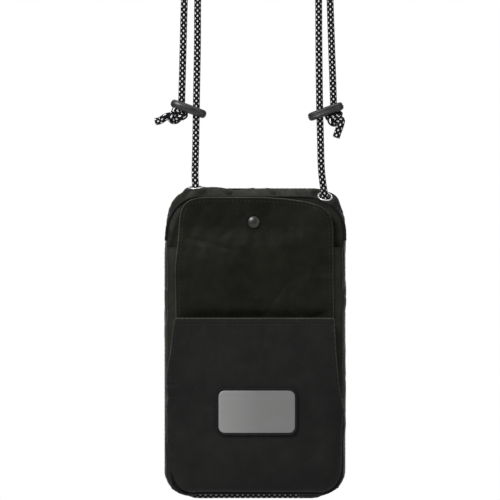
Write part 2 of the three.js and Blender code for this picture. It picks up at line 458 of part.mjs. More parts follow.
// strand a: arch, then straight down through the right stopper to the right eyelet
{
  add('cord_loop_a', cord([...arch(archA, 0, 180, 12), [40.8, 3.05, 290], [41.2, 3.1, 256], [41.55, 3.15, 226], [42.3, 2.5, 212], [43.9, 2.2, 201.6]], 24), BRAID);
  add('cord_loop_b', cord([...arch(archB, 180, 0, 12), [-36.9, 8.72, 290], [-37.35, 8.45, 256], [-37.7, 8.0, 226], [-37.95, 7.0, 206.6]], 23), BRAID);
  const R = 9.6, yc = 6.3, zc = CORD_R;
  const bend = (s) => [60, 30].map((a) => { const t = a * Math.PI / 180; return [s * (38.8 + R * Math.sin(t)), yc, zc + R - R * Math.cos(t)]; });
  add('cord_under', cord([
    [44.02, 2.4, 200.8], [44.75, 4.2, 193.4], [45.5, 6.0, 187], [47.2, 6.9, 178], [48.4, 6.5, 168], [48.4, yc, 155], [48.4, yc, 90], [48.4, yc, 28], [48.4, yc, zc + R + 0.4],
    ...bend(1), [38.8, yc, zc], [20, yc, zc], [0, yc, zc], [-20, yc, zc], [-38.8, yc, zc], ...bend(-1).reverse(),
    [-48.4, yc, zc + R + 0.4], [-48.4, yc, 28], [-48.4, yc, 90], [-48.4, yc, 155], [-48.2, 6.5, 168], [-45, 6.6, 179], [-40.2, 6.4, 189.5], [-38.1, 6.5, 198.6], [-37.97, 6.95, 205.9]], 46), BRAID);
  add('cord_outer_left', cord([outerL.top.map((c, i) => c + (i === 2 ? -0.3 : 0)), outerL.low.map((c, i) => c + (i === 2 ? 0.2 : 0))], 5), BRAID);
  add('cord_outer_right', cord([outerR.top.map((c, i) => c + (i === 2 ? -0.3 : 0)), outerR.low.map((c, i) => c + (i === 2 ? 0.2 : 0))], 5), BRAID);
}
// stoppers: thick oval plates with a groove round the edge and two holes
function stopper(stop, holes) {
  const { l, w, t } = STOPPER, rows = [];
  const ring = (inset, h) => { const out = []; const n = 20; for (let i = 0; i < n; i++) { const a = 2 * Math.PI * i / n, ca = Math.cos(a), sa = Math.sin(a); const e = 2 / 2.6; out.push([(l / 2 - inset) * Math.sign(ca) * Math.abs(ca) ** e, (w / 2 - inset) * Math.sign(sa) * Math.abs(sa) ** e, h]); } return out; };
  for (const [inset, h] of [[1.5, -t / 2], [0.35, -t / 2 + 0.8], [0, -0.75], [0.5, -0.3], [0.5, 0.3], [0, 0.75], [0.35, t / 2 - 0.8], [1.5, t / 2]]) rows.push(ring(inset, h));
  const n = rows[0].length, points = [...rows.flat(), [0, 0, -t / 2], [0, 0, t / 2]], faces = [], id = (i, k) => i * n + (k % n);
  for (let i = 0; i < rows.length - 1; i++) for (let k = 0; k < n; k++) faces.push([id(i, k), id(i, k + 1), id(i + 1, k + 1)], [id(i, k), id(i + 1, k + 1), id(i + 1, k)]);
  const c0 = points.length - 2, c1 = points.length - 1;
  for (let k = 0; k < n; k++) faces.push([c0, id(0, k + 1), id(0, k)], [c1, id(rows.length - 1, k), id(rows.length - 1, k + 1)]);
  const g = fromTriangles(points, faces);
  g.rotateY(-stop.tilt * Math.PI / 180);
  g.translate(...stop.at);
  return cut(g, ...holes.map(([p, d, r]) => rod(p, d, r, 26, 12)));
}
const dirOf = (a, b) => unit([b[0] - a[0], b[1] - a[1], b[2] - a[2]]);
const at = (a, b, z) => { const t = (z - a[2]) / (b[2] - a[2]); return [lerp(a[0], b[0], t), lerp(a[1], b[1], t), z]; };
const innerL = [[-37.7, 8.0, 226], [-36.9, 8.72, 290]], innerR = [[41.55, 3.15, 226], [40.8, 3.05, 290]];
{
  const dl = dirOf(outerL.top, outerL.low), dr = dirOf(outerR.top, outerR.low);
  const pl = at(outerL.top, outerL.low, 251.2), pr = at(outerR.top, outerR.low, 249.6);
  add('stopper_left', stopper(STOP_L, [[pl, dl, CORD_R + 0.3], [at(...innerL, 247.7), dirOf(...innerL), CORD_R + 0.6]]), PLASTIC, 0.55);
  add('stopper_right', stopper(STOP_R, [[pr, dr, CORD_R + 0.3], [at(...innerR, 246.2), dirOf(...innerR), CORD_R + 0.6]]), PLASTIC, 0.55);
  add('cord_end_left', cord([at(outerL.top, outerL.low, 256.6), at(outerL.top, outerL.low, 249.6)], 2), BRAID);
  add('cord_end_right', cord([at(outerR.top, outerR.low, 256.6), at(outerR.top, outerR.low, 248.2)], 2), BRAID);
  const knot = (c, tilt, size) => { const g = new THREE.SphereGeometry(1, 14, 10); g.deleteAttribute('uv'); g.deleteAttribute('normal'); const m = mergeVertices(g, 1e-4); const pos = m.attributes.position, pts = [], fs = [], idx = m.index.array; for (let i = 0; i < pos.count; i++) pts.push([pos.getX(i) * size[0], pos.getY(i) * size[1], pos.getZ(i) * size[2]]); for (let i = 0; i < idx.length; i += 3) if (new Set([idx[i], idx[i + 1], idx[i + 2]]).size === 3) fs.push([idx[i], idx[i + 1], idx[i + 2]]); const out = fromTriangles(pts, fs); out.rotateY(-tilt * Math.PI / 180); out.translate(...c); return out; };
  add('knot_left', knot([-50.2, 8.6, 244.9], -20, [6.2, 4.8, 4.1]), BRAID);
  add('knot_right', knot([51.6, 3.4, 242.6], 20, [6.2, 4.8, 4.1]), BRAID);
  add('cord_tail_left', cord([[-57.2, 8.7, 244.4], [-60.2, 8.8, 242.6], [-64.0, 9.0, 241.6]], 4), BRAID);
  add('cord_tail_right', cord([[53.6, 2.6, 237.4], [52.9, 1.9, 235.0], [51.9, 1.4, 230.6]], 4), BRAID);
}

export default group;
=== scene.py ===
import math

import bpy
import numpy as np
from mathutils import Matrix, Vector


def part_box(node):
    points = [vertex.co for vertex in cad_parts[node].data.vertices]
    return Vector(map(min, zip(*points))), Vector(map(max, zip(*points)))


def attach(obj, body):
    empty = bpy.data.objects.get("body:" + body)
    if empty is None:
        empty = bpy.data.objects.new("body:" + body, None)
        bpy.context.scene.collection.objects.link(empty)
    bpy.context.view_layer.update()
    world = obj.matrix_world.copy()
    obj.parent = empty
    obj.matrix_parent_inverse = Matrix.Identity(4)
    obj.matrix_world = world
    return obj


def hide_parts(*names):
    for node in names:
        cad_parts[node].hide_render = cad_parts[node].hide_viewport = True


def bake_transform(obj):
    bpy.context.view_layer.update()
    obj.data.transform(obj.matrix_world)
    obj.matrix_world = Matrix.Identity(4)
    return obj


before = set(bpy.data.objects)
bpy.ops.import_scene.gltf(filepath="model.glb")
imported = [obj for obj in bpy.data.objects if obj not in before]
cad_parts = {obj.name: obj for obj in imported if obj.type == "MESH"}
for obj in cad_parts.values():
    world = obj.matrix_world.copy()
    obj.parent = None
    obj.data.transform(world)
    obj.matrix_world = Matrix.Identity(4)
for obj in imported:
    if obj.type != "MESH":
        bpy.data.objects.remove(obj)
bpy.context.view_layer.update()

# ------------------------------------------------------------------ frame
# Everything below is laid out in millimetres with the cord's underside at z = 0, the pouch centred on x = 0
# and its front towards -y. S turns that into the row's frame.
_lo, _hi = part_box("back_panel")
OX, OY, OZ = (_lo.x + _hi.x) / 2, _hi.y - 0.0130, _hi.z - 0.1970


def S(p):
    p = np.asarray(p, float)
    return p / 1000.0 + np.array([OX, OY, OZ])


def V(x, y, z):
    return Vector((x / 1000 + OX, y / 1000 + OY, z / 1000 + OZ))


# ------------------------------------------------------------------ camera
cam_data = bpy.data.cameras.new("camera")
cam = bpy.data.objects.new("camera", cam_data)
bpy.context.scene.collection.objects.link(cam)
DIST, VIEW_MM, ELEV = 1.9, 317.8, 0.6
target = V(-3.2, -8.0, 159.3)
e = math.radians(ELEV)
cam.location = target + Vector((0, -math.cos(e), math.sin(e))) * DIST
cam.rotation_euler = (math.pi / 2 - e, 0, 0)
cam_data.sensor_width = 36
cam_data.lens = 36 * DIST * 1000 / VIEW_MM
cam_data.clip_start, cam_data.clip_end = 0.05, 20
cam_data.dof.use_dof = False
bpy.context.scene.camera = cam

# ------------------------------------------------------------------ helpers
coll = bpy.context.scene.collection


def smooth(a, b, x):
    t = np.clip((np.asarray(x, float) - a) / (b - a), 0, 1)
    return t * t * (3 - 2 * t)


def table(pts, x):
    pts = sorted(pts)
    return np.interp(x, [p[0] for p in pts], [p[1] for p in pts])


def vnoise(x, y, seed=0):
    """Smooth noise in -1..1 on numpy arrays."""
    x, y = np.broadcast_arrays(np.asarray(x, float), np.asarray(y, float))
    xi, yi = np.floor(x), np.floor(y)
    fx, fy = x - xi, y - yi
    fx, fy = fx**3 * (fx * (fx * 6 - 15) + 10), fy**3 * (fy * (fy * 6 - 15) + 10)

    def h(a, b):
        a = a.astype(np.int64) & 0xFFFF
        b = b.astype(np.int64) & 0xFFFF
        n = (a * 73856093 ^ b * 19349663 ^ (seed + 11) * 83492791) & 0x7FFFFFFF
        n = (n * 1103515245 + 12345) & 0x7FFFFFFF
        n = (n ^ (n >> 13)) * 60493 & 0x7FFFFFFF
        return (n % 20011) / 20011 * 2 - 1

    a, b, c, d = h(xi, yi), h(xi + 1, yi), h(xi, yi + 1), h(xi + 1, yi + 1)
    return (a * (1 - fx) + b * fx) * (1 - fy) + (c * (1 - fx) + d * fx) * fy


def fbm(x, y, seed=0, octaves=3):
    out, amp, tot = 0, 1.0, 0
    for k in range(octaves):
        out = out + amp * vnoise(x * 2**k + 17 * k, y * 2**k - 9 * k, seed + k)
        tot += amp
        amp *= 0.5
    return out / tot


def ridge(x, y, seed=0, p=3.0):
    """Crease lines: 1 on a crease, falling to 0."""
    return (1 - np.abs(vnoise(x, y, seed))) ** p


def make(name, verts_mm, faces, uv=None, mat=None, smooth_deg=60, uv_wrap=None):
    me = bpy.data.meshes.new(name)
    me.from_pydata([tuple(p) for p in S(verts_mm)], [], [tuple(int(i) for i in f) for f in faces])
    me.update()
    if uv is not None:
        layer = me.uv_layers.new(name="UVMap")
        idx = np.zeros(len(me.loops), int)
        me.loops.foreach_get("vertex_index", idx)
        data = np.asarray(uv, float)[idx]
        if uv_wrap is not None:
            data = uv_wrap(me, idx, data)
        layer.data.foreach_set("uv", data.astype(np.float32).ravel())
    me.polygons.foreach_set("use_smooth", [True] * len(me.polygons))
    if smooth_deg < 180:
        me.set_sharp_from_angle(angle=math.radians(smooth_deg))
    o = bpy.data.objects.new(name, me)
    coll.objects.link(o)
    if mat is not None:
        me.materials.append(mat)
    return o


def outward(verts, faces):
    """The faces, turned so that the closed mesh's normals point out."""
    v = np.asarray(verts, float)
    vol = 0.0
    f = np.array([x[:3] for x in faces])
    g = np.array([[x[0], x[2], x[3]] for x in faces if len(x) == 4])
    for t in (f, g):
        if len(t):
            a, b, c = v[t[:, 0]], v[t[:, 1]], v[t[:, 2]]
            vol += np.einsum("ij,ij->i", a, np.cross(b, c)).sum()
    return faces if vol > 0 else [tuple(reversed(x)) for x in faces]


def grid_normals(P, ring=False):
    if ring:
        du = np.roll(P, -1, 1) - np.roll(P, 1, 1)
    else:
        du = np.gradient(P, axis=1)
    dv = np.gradient(P, axis=0)
    n = np.cross(du, dv)
    return n / np.maximum(np.linalg.norm(n, axis=2, keepdims=True), 1e-9)


def sheet(name, P, thick, uv, mat, ring=False, towards=None, smooth_deg=60):
    """A cloth of a given thickness about the middle surface P (rows, columns, 3), in mm."""
    m, n, _ = P.shape
    N = grid_normals(P, ring)
    if towards is not None:
        if (N * (np.asarray(towards, float) if np.ndim(towards) == 1 else towards)).sum() < 0:
            N = -N
    A, B = P + N * thick / 2, P - N * thick / 2
    verts = np.concatenate([A.reshape(-1, 3), B.reshape(-1, 3)])
    k = m * n
    i, j = np.meshgrid(np.arange(m - 1), np.arange(n if ring else n - 1), indexing="ij")
    i, j = i.ravel(), j.ravel()
    j2 = (j + 1) % n
    a, b, c, d = i * n + j, i * n + j2, (i + 1) * n + j2, (i + 1) * n + j
    faces = [*zip(a, b, c, d), *zip(k + d, k + c, k + b, k + a)]

    def rim(line, rev):
        for p, q in zip(line[:-1], line[1:]):
            faces.append((q, p, k + p, k + q) if not rev else (p, q, k + q, k + p))

    cols = list(range(n)) + ([0] if ring else [])
    rim([j for j in cols], False)
    rim([(m - 1) * n + j for j in cols], True)
    if not ring:
        rim([i * n for i in range(m)], True)
        rim([i * n + n - 1 for i in range(m)], False)
    uvv = np.concatenate([np.asarray(uv).reshape(-1, 2)] * 2)
    wrap = None
    if ring:
        total = float(uvv[:, 0].max()) * n / max(1, n - 1)

        def wrap(me, idx, data):
            col = idx % n
            starts = np.zeros(len(me.polygons), int)
            me.polygons.foreach_get("loop_start", starts)
            for s in starts:
                c4 = col[s : s + 4]
                if c4.max() == n - 1 and c4.min() == 0:
                    data[s : s + 4][c4 == 0, 0] += total
            return data

    return make(name, verts, outward(verts, faces), uvv, mat, smooth_deg, wrap)


def frames(path):
    """Rotation-minimising frames along a path: tangents, two normals, distance along."""
    path = np.asarray(path, float)
    t = np.gradient(path, axis=0)
    t /= np.linalg.norm(t, axis=1, keepdims=True)
    u = np.zeros_like(t)
    ref = np.array([0, -1.0, 0]) if abs(t[0, 1]) < 0.9 else np.array([1.0, 0, 0])
    u[0] = ref - t[0] * ref.dot(t[0])
    u[0] /= np.linalg.norm(u[0])
    for i in range(1, len(t)):
        w = u[i - 1] - t[i] * u[i - 1].dot(t[i])
        u[i] = w / np.linalg.norm(w)
    v = np.cross(t, u)
    s = np.concatenate([[0], np.cumsum(np.linalg.norm(np.diff(path, axis=0), axis=1))])
    return t, u, v, s


def resample(path, step):
    path = np.asarray(path, float)
    s = np.concatenate([[0], np.cumsum(np.linalg.norm(np.diff(path, axis=0), axis=1))])
    n = max(2, int(round(s[-1] / step)) + 1)
    at = np.linspace(0, s[-1], n)
    return np.stack([np.interp(at, s, path[:, k]) for k in range(3)], 1)


def spline(points, per=12):
    """Centripetal Catmull-Rom through points."""
    P = np.asarray(points, float)
    P = np.concatenate([[2 * P[0] - P[1]], P, [2 * P[-1] - P[-2]]])
    out = []
    for i in range(1, len(P) - 2):
        p0, p1, p2, p3 = P[i - 1 : i + 3]
        t0 = 0.0
        t1 = t0 + max(1e-6, np.linalg.norm(p1 - p0)) ** 0.5
        t2 = t1 + max(1e-6, np.linalg.norm(p2 - p1)) ** 0.5
        t3 = t2 + max(1e-6, np.linalg.norm(p3 - p2)) ** 0.5
        for t in np.linspace(t1, t2, per, endpoint=False):
            a1 = (t1 - t) / (t1 - t0) * p0 + (t - t0) / (t1 - t0) * p1
            a2 = (t2 - t) / (t2 - t1) * p1 + (t - t1) / (t2 - t1) * p2
            a3 = (t3 - t) / (t3 - t2) * p2 + (t - t2) / (t3 - t2) * p3
            b1 = (t2 - t) / (t2 - t0) * a1 + (t - t0) / (t2 - t0) * a2
            b2 = (t3 - t) / (t3 - t1) * a2 + (t - t1) / (t3 - t1) * a3
            out.append((t2 - t) / (t2 - t1) * b1 + (t - t1) / (t2 - t1) * b2)
    out.append(P[-2])
    return np.array(out)


def tube(name, path, radius, mat, sides=10, uv_scale=(1.0, 1.0), closed=False, shape=None, smooth_deg=180):
    """A round tube along a path in mm. radius is a number or a function of (distance, angle). UV: turns and millimetres."""
    path = np.asarray(path, float)
    t, u, v, s = frames(path)
    n = len(path)
    a = np.linspace(0, 2 * np.pi, sides, endpoint=False)
    if callable(radius):
        r = radius(s[:, None], a[None, :])
    else:
        r = np.full((n, sides), radius, float)
    ring = path[:, None] + (u[:, None] * np.cos(a)[None, :, None] + v[:, None] * np.sin(a)[None, :, None]) * r[..., None]
    verts = ring.reshape(-1, 3)
    # one seam column more in the UV than in the mesh
    i, j = np.meshgrid(np.arange(n - 1), np.arange(sides), indexing="ij")
    i, j = i.ravel(), j.ravel()
    j2 = (j + 1) % sides
    faces = [*zip(i * sides + j, (i + 1) * sides + j, (i + 1) * sides + j2, i * sides + j2)]
    uv = np.stack([np.tile(np.arange(sides) / sides, n), np.repeat(s, sides)], 1) * np.array(uv_scale)
    if not closed:
        c0, c1 = len(verts), len(verts) + 1
        verts = np.concatenate([verts, [path[0]], [path[-1]]])
        uv = np.concatenate([uv, [[0, s[0] * uv_scale[1]]], [[0, s[-1] * uv_scale[1]]]])
        faces += [(c0, j, (j + 1) % sides) for j in range(sides)]
        faces += [(c1, (n - 1) * sides + (j + 1) % sides, (n - 1) * sides + j) for j in range(sides)]
    total = uv_scale[0]

    def wrap(me, idx, data):
        starts, tot = np.zeros(len(me.polygons), int), np.zeros(len(me.polygons), int)
        me.polygons.foreach_get("loop_start", starts)
        me.polygons.foreach_get("loop_total", tot)
        col = idx % sides
        for q, k in zip(starts, tot):
            c4 = col[q : q + k]
            if k == 4 and c4.max() == sides - 1 and c4.min() == 0:
                data[q : q + k][c4 == 0, 0] += total
        return data

    return make(name, verts, outward(verts, faces), uv, mat, smooth_deg, wrap)


def revolve(name, at, axis, profile, mat, sides=48, smooth_deg=50):
    """Turns [radius, height] pairs (a closed loop, or starting and ending on the axis) about an axis through a point."""
    n = Vector(axis).normalized()
    a = n.orthogonal().normalized()
    b = n.cross(a)
    prof = list(profile)
    verts, rows = [], []
    for r, h in prof:
        if r < 1e-9:
            rows.append([len(verts)])
            verts.append([at[k] + n[k] * h for k in range(3)])
        else:
            rows.append(list(range(len(verts), len(verts) + sides)))
            for q in range(sides):
                c, s_ = math.cos(2 * math.pi * q / sides) * r, math.sin(2 * math.pi * q / sides) * r
                verts.append([at[k] + n[k] * h + a[k] * c + b[k] * s_ for k in range(3)])
    faces = []
    pairs = list(zip(rows[:-1], rows[1:]))
    if len(rows[0]) > 1 and len(rows[-1]) > 1:
        pairs.append((rows[-1], rows[0]))
    for p, q in pairs:
        for k in range(sides):
            k2 = (k + 1) % sides
            if len(p) == 1 and len(q) == 1:
                continue
            if len(p) == 1:
                faces.append((p[0], q[k], q[k2]))
            elif len(q) == 1:
                faces.append((p[k], q[0], p[k2]))
            else:
                faces.append((p[k], q[k], q[k2], p[k2]))
    return make(name, np.array(verts), outward(verts, faces), None, mat, smooth_deg)


def cut(obj, *cutters):
    """Exact boolean difference, applied."""
    bpy.context.view_layer.update()
    for c in cutters:
        mod = obj.modifiers.new("cut", "BOOLEAN")
        mod.operation, mod.solver, mod.object = "DIFFERENCE", "EXACT", c
        dg = bpy.context.evaluated_depsgraph_get()
        me = bpy.data.meshes.new_from_object(obj.evaluated_get(dg))
        obj.modifiers.remove(mod)
        old = obj.data
        obj.data = me
        bpy.data.meshes.remove(old)
        bpy.data.objects.remove(c, do_unlink=True)
    return obj


def prism(name, outline_xz, y0, y1, mat=None):
    n = len(outline_xz)
    verts = [[x, y0, z] for x, z in outline_xz] + [[x, y1, z] for x, z in outline_xz]
    faces = [tuple(range(n)), tuple(range(2 * n - 1, n - 1, -1))] + [(i, (i + 1) % n, n + (i + 1) % n, n + i) for i in range(n)]
    o = make(name, verts, faces, None, mat, 30)
    import bmesh

    bm = bmesh.new()
    bm.from_mesh(o.data)
    bmesh.ops.recalc_face_normals(bm, faces=bm.faces)
    bm.to_mesh(o.data)
    bm.free()
    return o


def rounded(cx, cz, w, h, r, seg=8):
    out = []
    for sx, sz, a0 in ((1, 1, 0), (-1, 1, 90), (-1, -1, 180), (1, -1, 270)):
        for i in range(seg + 1):
            a = math.radians(a0 + 90 * i / seg)
            out.append((cx + sx * (w / 2 - r) + r * math.cos(a), cz + sz * (h / 2 - r) + r * math.sin(a)))
    return out


def stitches(name, path, normals, mat, pitch=2.7, length=1.9, r=0.24, lift=0.05, skip=0):
    """A row of raised thread stitches along a path, each sunk at its ends into the cloth."""
    path, normals = np.asarray(path, float), np.asarray(normals, float)
    s = np.concatenate([[0], np.cumsum(np.linalg.norm(np.diff(path, axis=0), axis=1))])
    verts, faces = [], []
    rings, sides = 5, 6
    at = np.arange(pitch * 0.5, s[-1] - length * 0.5, pitch)
    for q, c in enumerate(at):
        w = 0.12 * math.sin(q * 12.9898) * 1.0
        base = len(verts)
        for i in range(rings):
            f = i / (rings - 1) * 2 - 1
            d = c + f * (length + w) / 2
            p = np.array([np.interp(d, s, path[:, k]) for k in range(3)])
            nn = np.array([np.interp(d, s, normals[:, k]) for k in range(3)])
            nn /= np.linalg.norm(nn)
            d2 = np.array([np.interp(d + 0.3, s, path[:, k]) for k in range(3)]) - np.array([np.interp(d - 0.3, s, path[:, k]) for k in range(3)])
            tt = d2 / max(1e-9, np.linalg.norm(d2))
            bb = np.cross(tt, nn)
            rr = r * (1 - 0.55 * abs(f) ** 3)
            p = p + nn * (lift + r * (0.35 - 0.9 * f * f))
            for k in range(sides):
                a = 2 * math.pi * k / sides
                verts.append(p + (nn * math.sin(a) + bb * math.cos(a)) * rr)
        for i in range(rings - 1):
            for k in range(sides):
                a, b = base + i * sides + k, base + i * sides + (k + 1) % sides
                faces.append((a, a + sides, b + sides, b))
        faces.append(tuple(base + k for k in range(sides)))
        faces.append(tuple(base + (rings - 1) * sides + k for k in reversed(range(sides))))
    if not verts:
        return None
    return make(name, np.array(verts), outward(verts, [f for f in faces]), None, mat, 180)


# ------------------------------------------------------------------ materials
class Graph:
    def __init__(self, name):
        self.m = bpy.data.materials.new(name)
        self.m.use_nodes = True
        self.t = self.m.node_tree
        self.bsdf = self.t.nodes["Principled BSDF"]
        self.y = 0

    def node(self, kind, **kw):
        n = self.t.nodes.new(kind)
        for k, v in kw.items():
            setattr(n, k, v)
        return n

    def link(self, a, b):
        self.t.links.new(a, b)

    def put(self, socket, value):
        if isinstance(value, bpy.types.NodeSocket):
            self.link(value, socket)
        else:
            socket.default_value = value

    def math(self, op, a, b=0.0, c=None):
        n = self.node("ShaderNodeMath", operation=op)
        self.put(n.inputs[0], a)
        self.put(n.inputs[1], b)
        if c is not None:
            self.put(n.inputs[2], c)
        return n.outputs[0]

    def uv(self):
        n = self.node("ShaderNodeUVMap")
        s = self.node("ShaderNodeSeparateXYZ")
        self.link(n.outputs[0], s.inputs[0])
        return n.outputs[0], s.outputs[0], s.outputs[1]

    def obj(self):
        return self.node("ShaderNodeTexCoord").outputs["Object"]

    def noise(self, vec, scale, detail=3.0, rough=0.55, out=0):
        n = self.node("ShaderNodeTexNoise")
        self.put(n.inputs["Vector"], vec)
        n.inputs["Scale"].default_value = scale
        n.inputs["Detail"].default_value = detail
        n.inputs["Roughness"].default_value = rough
        return n.outputs[out]

    def ramp(self, fac, stops):
        n = self.node("ShaderNodeValToRGB")
        cr = n.color_ramp
        while len(cr.elements) < len(stops):
            cr.elements.new(0.5)
        for el, (p, c) in zip(cr.elements, stops):
            el.position = p
            el.color = (*c, 1) if len(c) == 3 else c
        self.put(n.inputs[0], fac)
        return n.outputs[0]

    def mix(self, fac, a, b, mode="MIX"):
        n = self.node("ShaderNodeMix", data_type="RGBA", blend_type=mode)
        self.put(n.inputs[0], fac)
        self.put(n.inputs[6], a)
        self.put(n.inputs[7], b)
        return n.outputs[2]

    def range(self, v, a, b, c, d):
        n = self.node("ShaderNodeMapRange")
        self.put(n.inputs[0], v)
        for i, x in enumerate((a, b, c, d)):
            n.inputs[i + 1].default_value = x
        return n.outputs[0]

    def bump(self, height, dist, strength=1.0, normal=None):
        n = self.node("ShaderNodeBump")
        n.inputs["Strength"].default_value = strength
        n.inputs["Distance"].default_value = dist
        self.put(n.inputs["Height"], height)
        if normal is not None:
            self.link(normal, n.inputs["Normal"])
        return n.outputs[0]


def col(h, k=1.0):
    """sRGB 0..255 triple to linear."""
    return tuple(((c / 255) / 12.92 if c / 255 <= 0.04045 else ((c / 255 + 0.055) / 1.055) ** 2.4) * k for c in h)


def fabric(name, dark, light, rough=0.62, weave=0.62, spec=0.25, sheen=0.12, bump=0.035, blotch=0.03, speck=True):
    """Woven cloth in UV millimetres: crossing yarns, uneven dye, slight rubbing on the raised parts, a few lint specks."""
    g = Graph(name)
    vec, u, v = g.uv()
    k = 2 * math.pi / weave
    wx = g.math("SINE", g.math("MULTIPLY", u, k))
    wy = g.math("SINE", g.math("MULTIPLY", v, k))
    prod = g.math("MULTIPLY", wx, wy)
    slub = g.noise(vec, 0.9, 3)
    yarn = g.noise(vec, 5.0, 2)
    h = g.math("ADD", g.math("MULTIPLY", prod, 0.5), g.math("MULTIPLY", yarn, 0.7))
    big = g.noise(g.obj(), 26.0, 4, 0.6)
    mid = g.noise(g.obj(), 110.0, 4, 0.6)
    tone = g.math("ADD", g.math("MULTIPLY", big, 0.6), g.math("MULTIPLY", mid, 0.4))
    tone = g.range(tone, 0.36, 0.64, 0.0, 1.0)
    tone = g.math("ADD", g.math("MULTIPLY", tone, 0.7), g.math("MULTIPLY", g.range(prod, -1, 1, 0, 1), 0.3))
    c = g.mix(tone, (*dark, 1), (*light, 1))
    if speck:
        lint = g.noise(g.obj(), 420.0, 2, 0.5)
        m = g.range(lint, 0.745, 0.78, 0.0, 0.3)
        c = g.mix(m, c, (*[x * 3.2 + 0.01 for x in light], 1))
    g.put(g.bsdf.inputs["Base Color"], c)
    r = g.range(g.math("ADD", g.math("MULTIPLY", mid, 0.5), g.math("MULTIPLY", slub, 0.5)), 0.3, 0.7, rough - 0.09, rough + 0.09)
    g.put(g.bsdf.inputs["Roughness"], r)
    g.bsdf.inputs["Specular IOR Level"].default_value = spec
    g.bsdf.inputs["Sheen Weight"].default_value = sheen
    g.bsdf.inputs["Sheen Roughness"].default_value = 0.45
    n1 = g.bump(g.noise(g.obj(), 160.0, 4, 0.6), 0.00025, 0.55)
    n2 = g.bump(h, bump / 1000.0, 0.9, n1)
    g.link(n2, g.bsdf.inputs["Normal"])
    return g.m


def braid_mat(name):
    """Round braid: a black diamond lattice with pale reflective ovals between. UV x is turns * 8, y is repeats."""
    g = Graph(name)
    vec, u, v = g.uv()
    u = g.math("ADD", u, 0.5)
    fl = g.math("FLOOR", u)
    odd = g.math("FLOORED_MODULO", fl, 2.0)
    vv = g.math("ADD", v, g.math("MULTIPLY", odd, 0.5))
    fu = g.math("SUBTRACT", g.math("FRACT", u), 0.5)
    fv = g.math("SUBTRACT", g.math("FRACT", vv), 0.5)
    du = g.math("POWER", g.math("ABSOLUTE", g.math("MULTIPLY", fu, 3.45)), 2.0)
    dv = g.math("POWER", g.math("ABSOLUTE", g.math("MULTIPLY", fv, 5.0)), 2.0)
    d = g.math("ADD", du, dv)
    wob = g.noise(g.obj(), 900.0, 2)
    d = g.math("ADD", d, g.math("MULTIPLY", g.math("SUBTRACT", wob, 0.5), 0.55))
    # painted shade: where the cord runs under the pouch (object z below 14 mm) the pale ovals are shrunk and darkened
    # towards grey, standing in for the shadow under the pouch
    sp = g.node("ShaderNodeSeparateXYZ")
    g.link(g.obj(), sp.inputs[0])
    painted_shade_under_pouch = g.range(sp.outputs[2], V(0, 0, 4.0).z, V(0, 0, 14.0).z, 1.0, 0.0)
    d = g.math("ADD", d, g.math("MULTIPLY", painted_shade_under_pouch, 0.15))
    mask = g.range(d, 0.80, 1.0, 1.0, 0.0)
    thread = g.math("SINE", g.math("MULTIPLY", g.math("ADD", g.math("MULTIPLY", fu, 2.0), g.math("MULTIPLY", fv, 3.0)), 26.0))
    black = g.mix(g.range(g.noise(g.obj(), 1500.0, 2), 0.35, 0.65, 0, 1), (0.0035, 0.0035, 0.0045, 1), (0.012, 0.012, 0.014, 1))
    white = g.mix(g.range(g.noise(g.obj(), 700.0, 2), 0.3, 0.7, 0, 1), (0.44, 0.44, 0.455, 1), (0.80, 0.80, 0.80, 1))
    # painted shade under the pouch: the pale ovals mixed halfway towards dark grey
    white = g.mix(g.math("MULTIPLY", painted_shade_under_pouch, 0.5), white, (0.14, 0.145, 0.14, 1))
    g.put(g.bsdf.inputs["Base Color"], g.mix(mask, black, white))
    g.put(g.bsdf.inputs["Roughness"], g.range(mask, 0, 1, 0.62, 0.42))
    g.put(g.bsdf.inputs["Specular IOR Level"], g.range(mask, 0, 1, 0.03, 0.16))
    n = g.bump(g.math("ADD", g.math("MULTIPLY", thread, 0.12), g.math("MULTIPLY", wob, 0.3)), 0.00012, 0.7)
    g.link(n, g.bsdf.inputs["Normal"])
    return g.m


def metal(name, base, rough, solid=1.0, scratch=0.12, tone=0.12):
    g = Graph(name)
    n = g.noise(g.obj(), 300.0, 4, 0.6)
    c = g.mix(g.range(n, 0.3, 0.7, 0, 1), (*[x * (1 - tone) for x in base], 1), (*[min(1, x * (1 + tone)) for x in base], 1))
    g.put(g.bsdf.inputs["Base Color"], c)
    g.bsdf.inputs["Metallic"].default_value = solid
    g.put(g.bsdf.inputs["Roughness"], g.range(g.noise(g.obj(), 900.0, 3), 0.3, 0.7, max(0.03, rough - scratch / 2), rough + scratch / 2))
    g.link(g.bump(g.noise(g.obj(), 1400.0, 3), 0.00003, 0.6), g.bsdf.inputs["Normal"])
    return g.m


def rubber(name, base, rough=0.36, spec=0.5):
    g = Graph(name)
    n = g.noise(g.obj(), 500.0, 4, 0.6)
    g.put(g.bsdf.inputs["Base Color"], g.mix(g.range(n, 0.35, 0.65, 0, 1), (*base, 1), (*[x * 1.9 for x in base], 1)))
    g.put(g.bsdf.inputs["Roughness"], g.range(g.noise(g.obj(), 260.0, 4), 0.3, 0.7, rough - 0.08, rough + 0.12))
    g.bsdf.inputs["Specular IOR Level"].default_value = spec
    g.link(g.bump(g.noise(g.obj(), 1300.0, 3), 0.00002, 0.4), g.bsdf.inputs["Normal"])
    return g.m


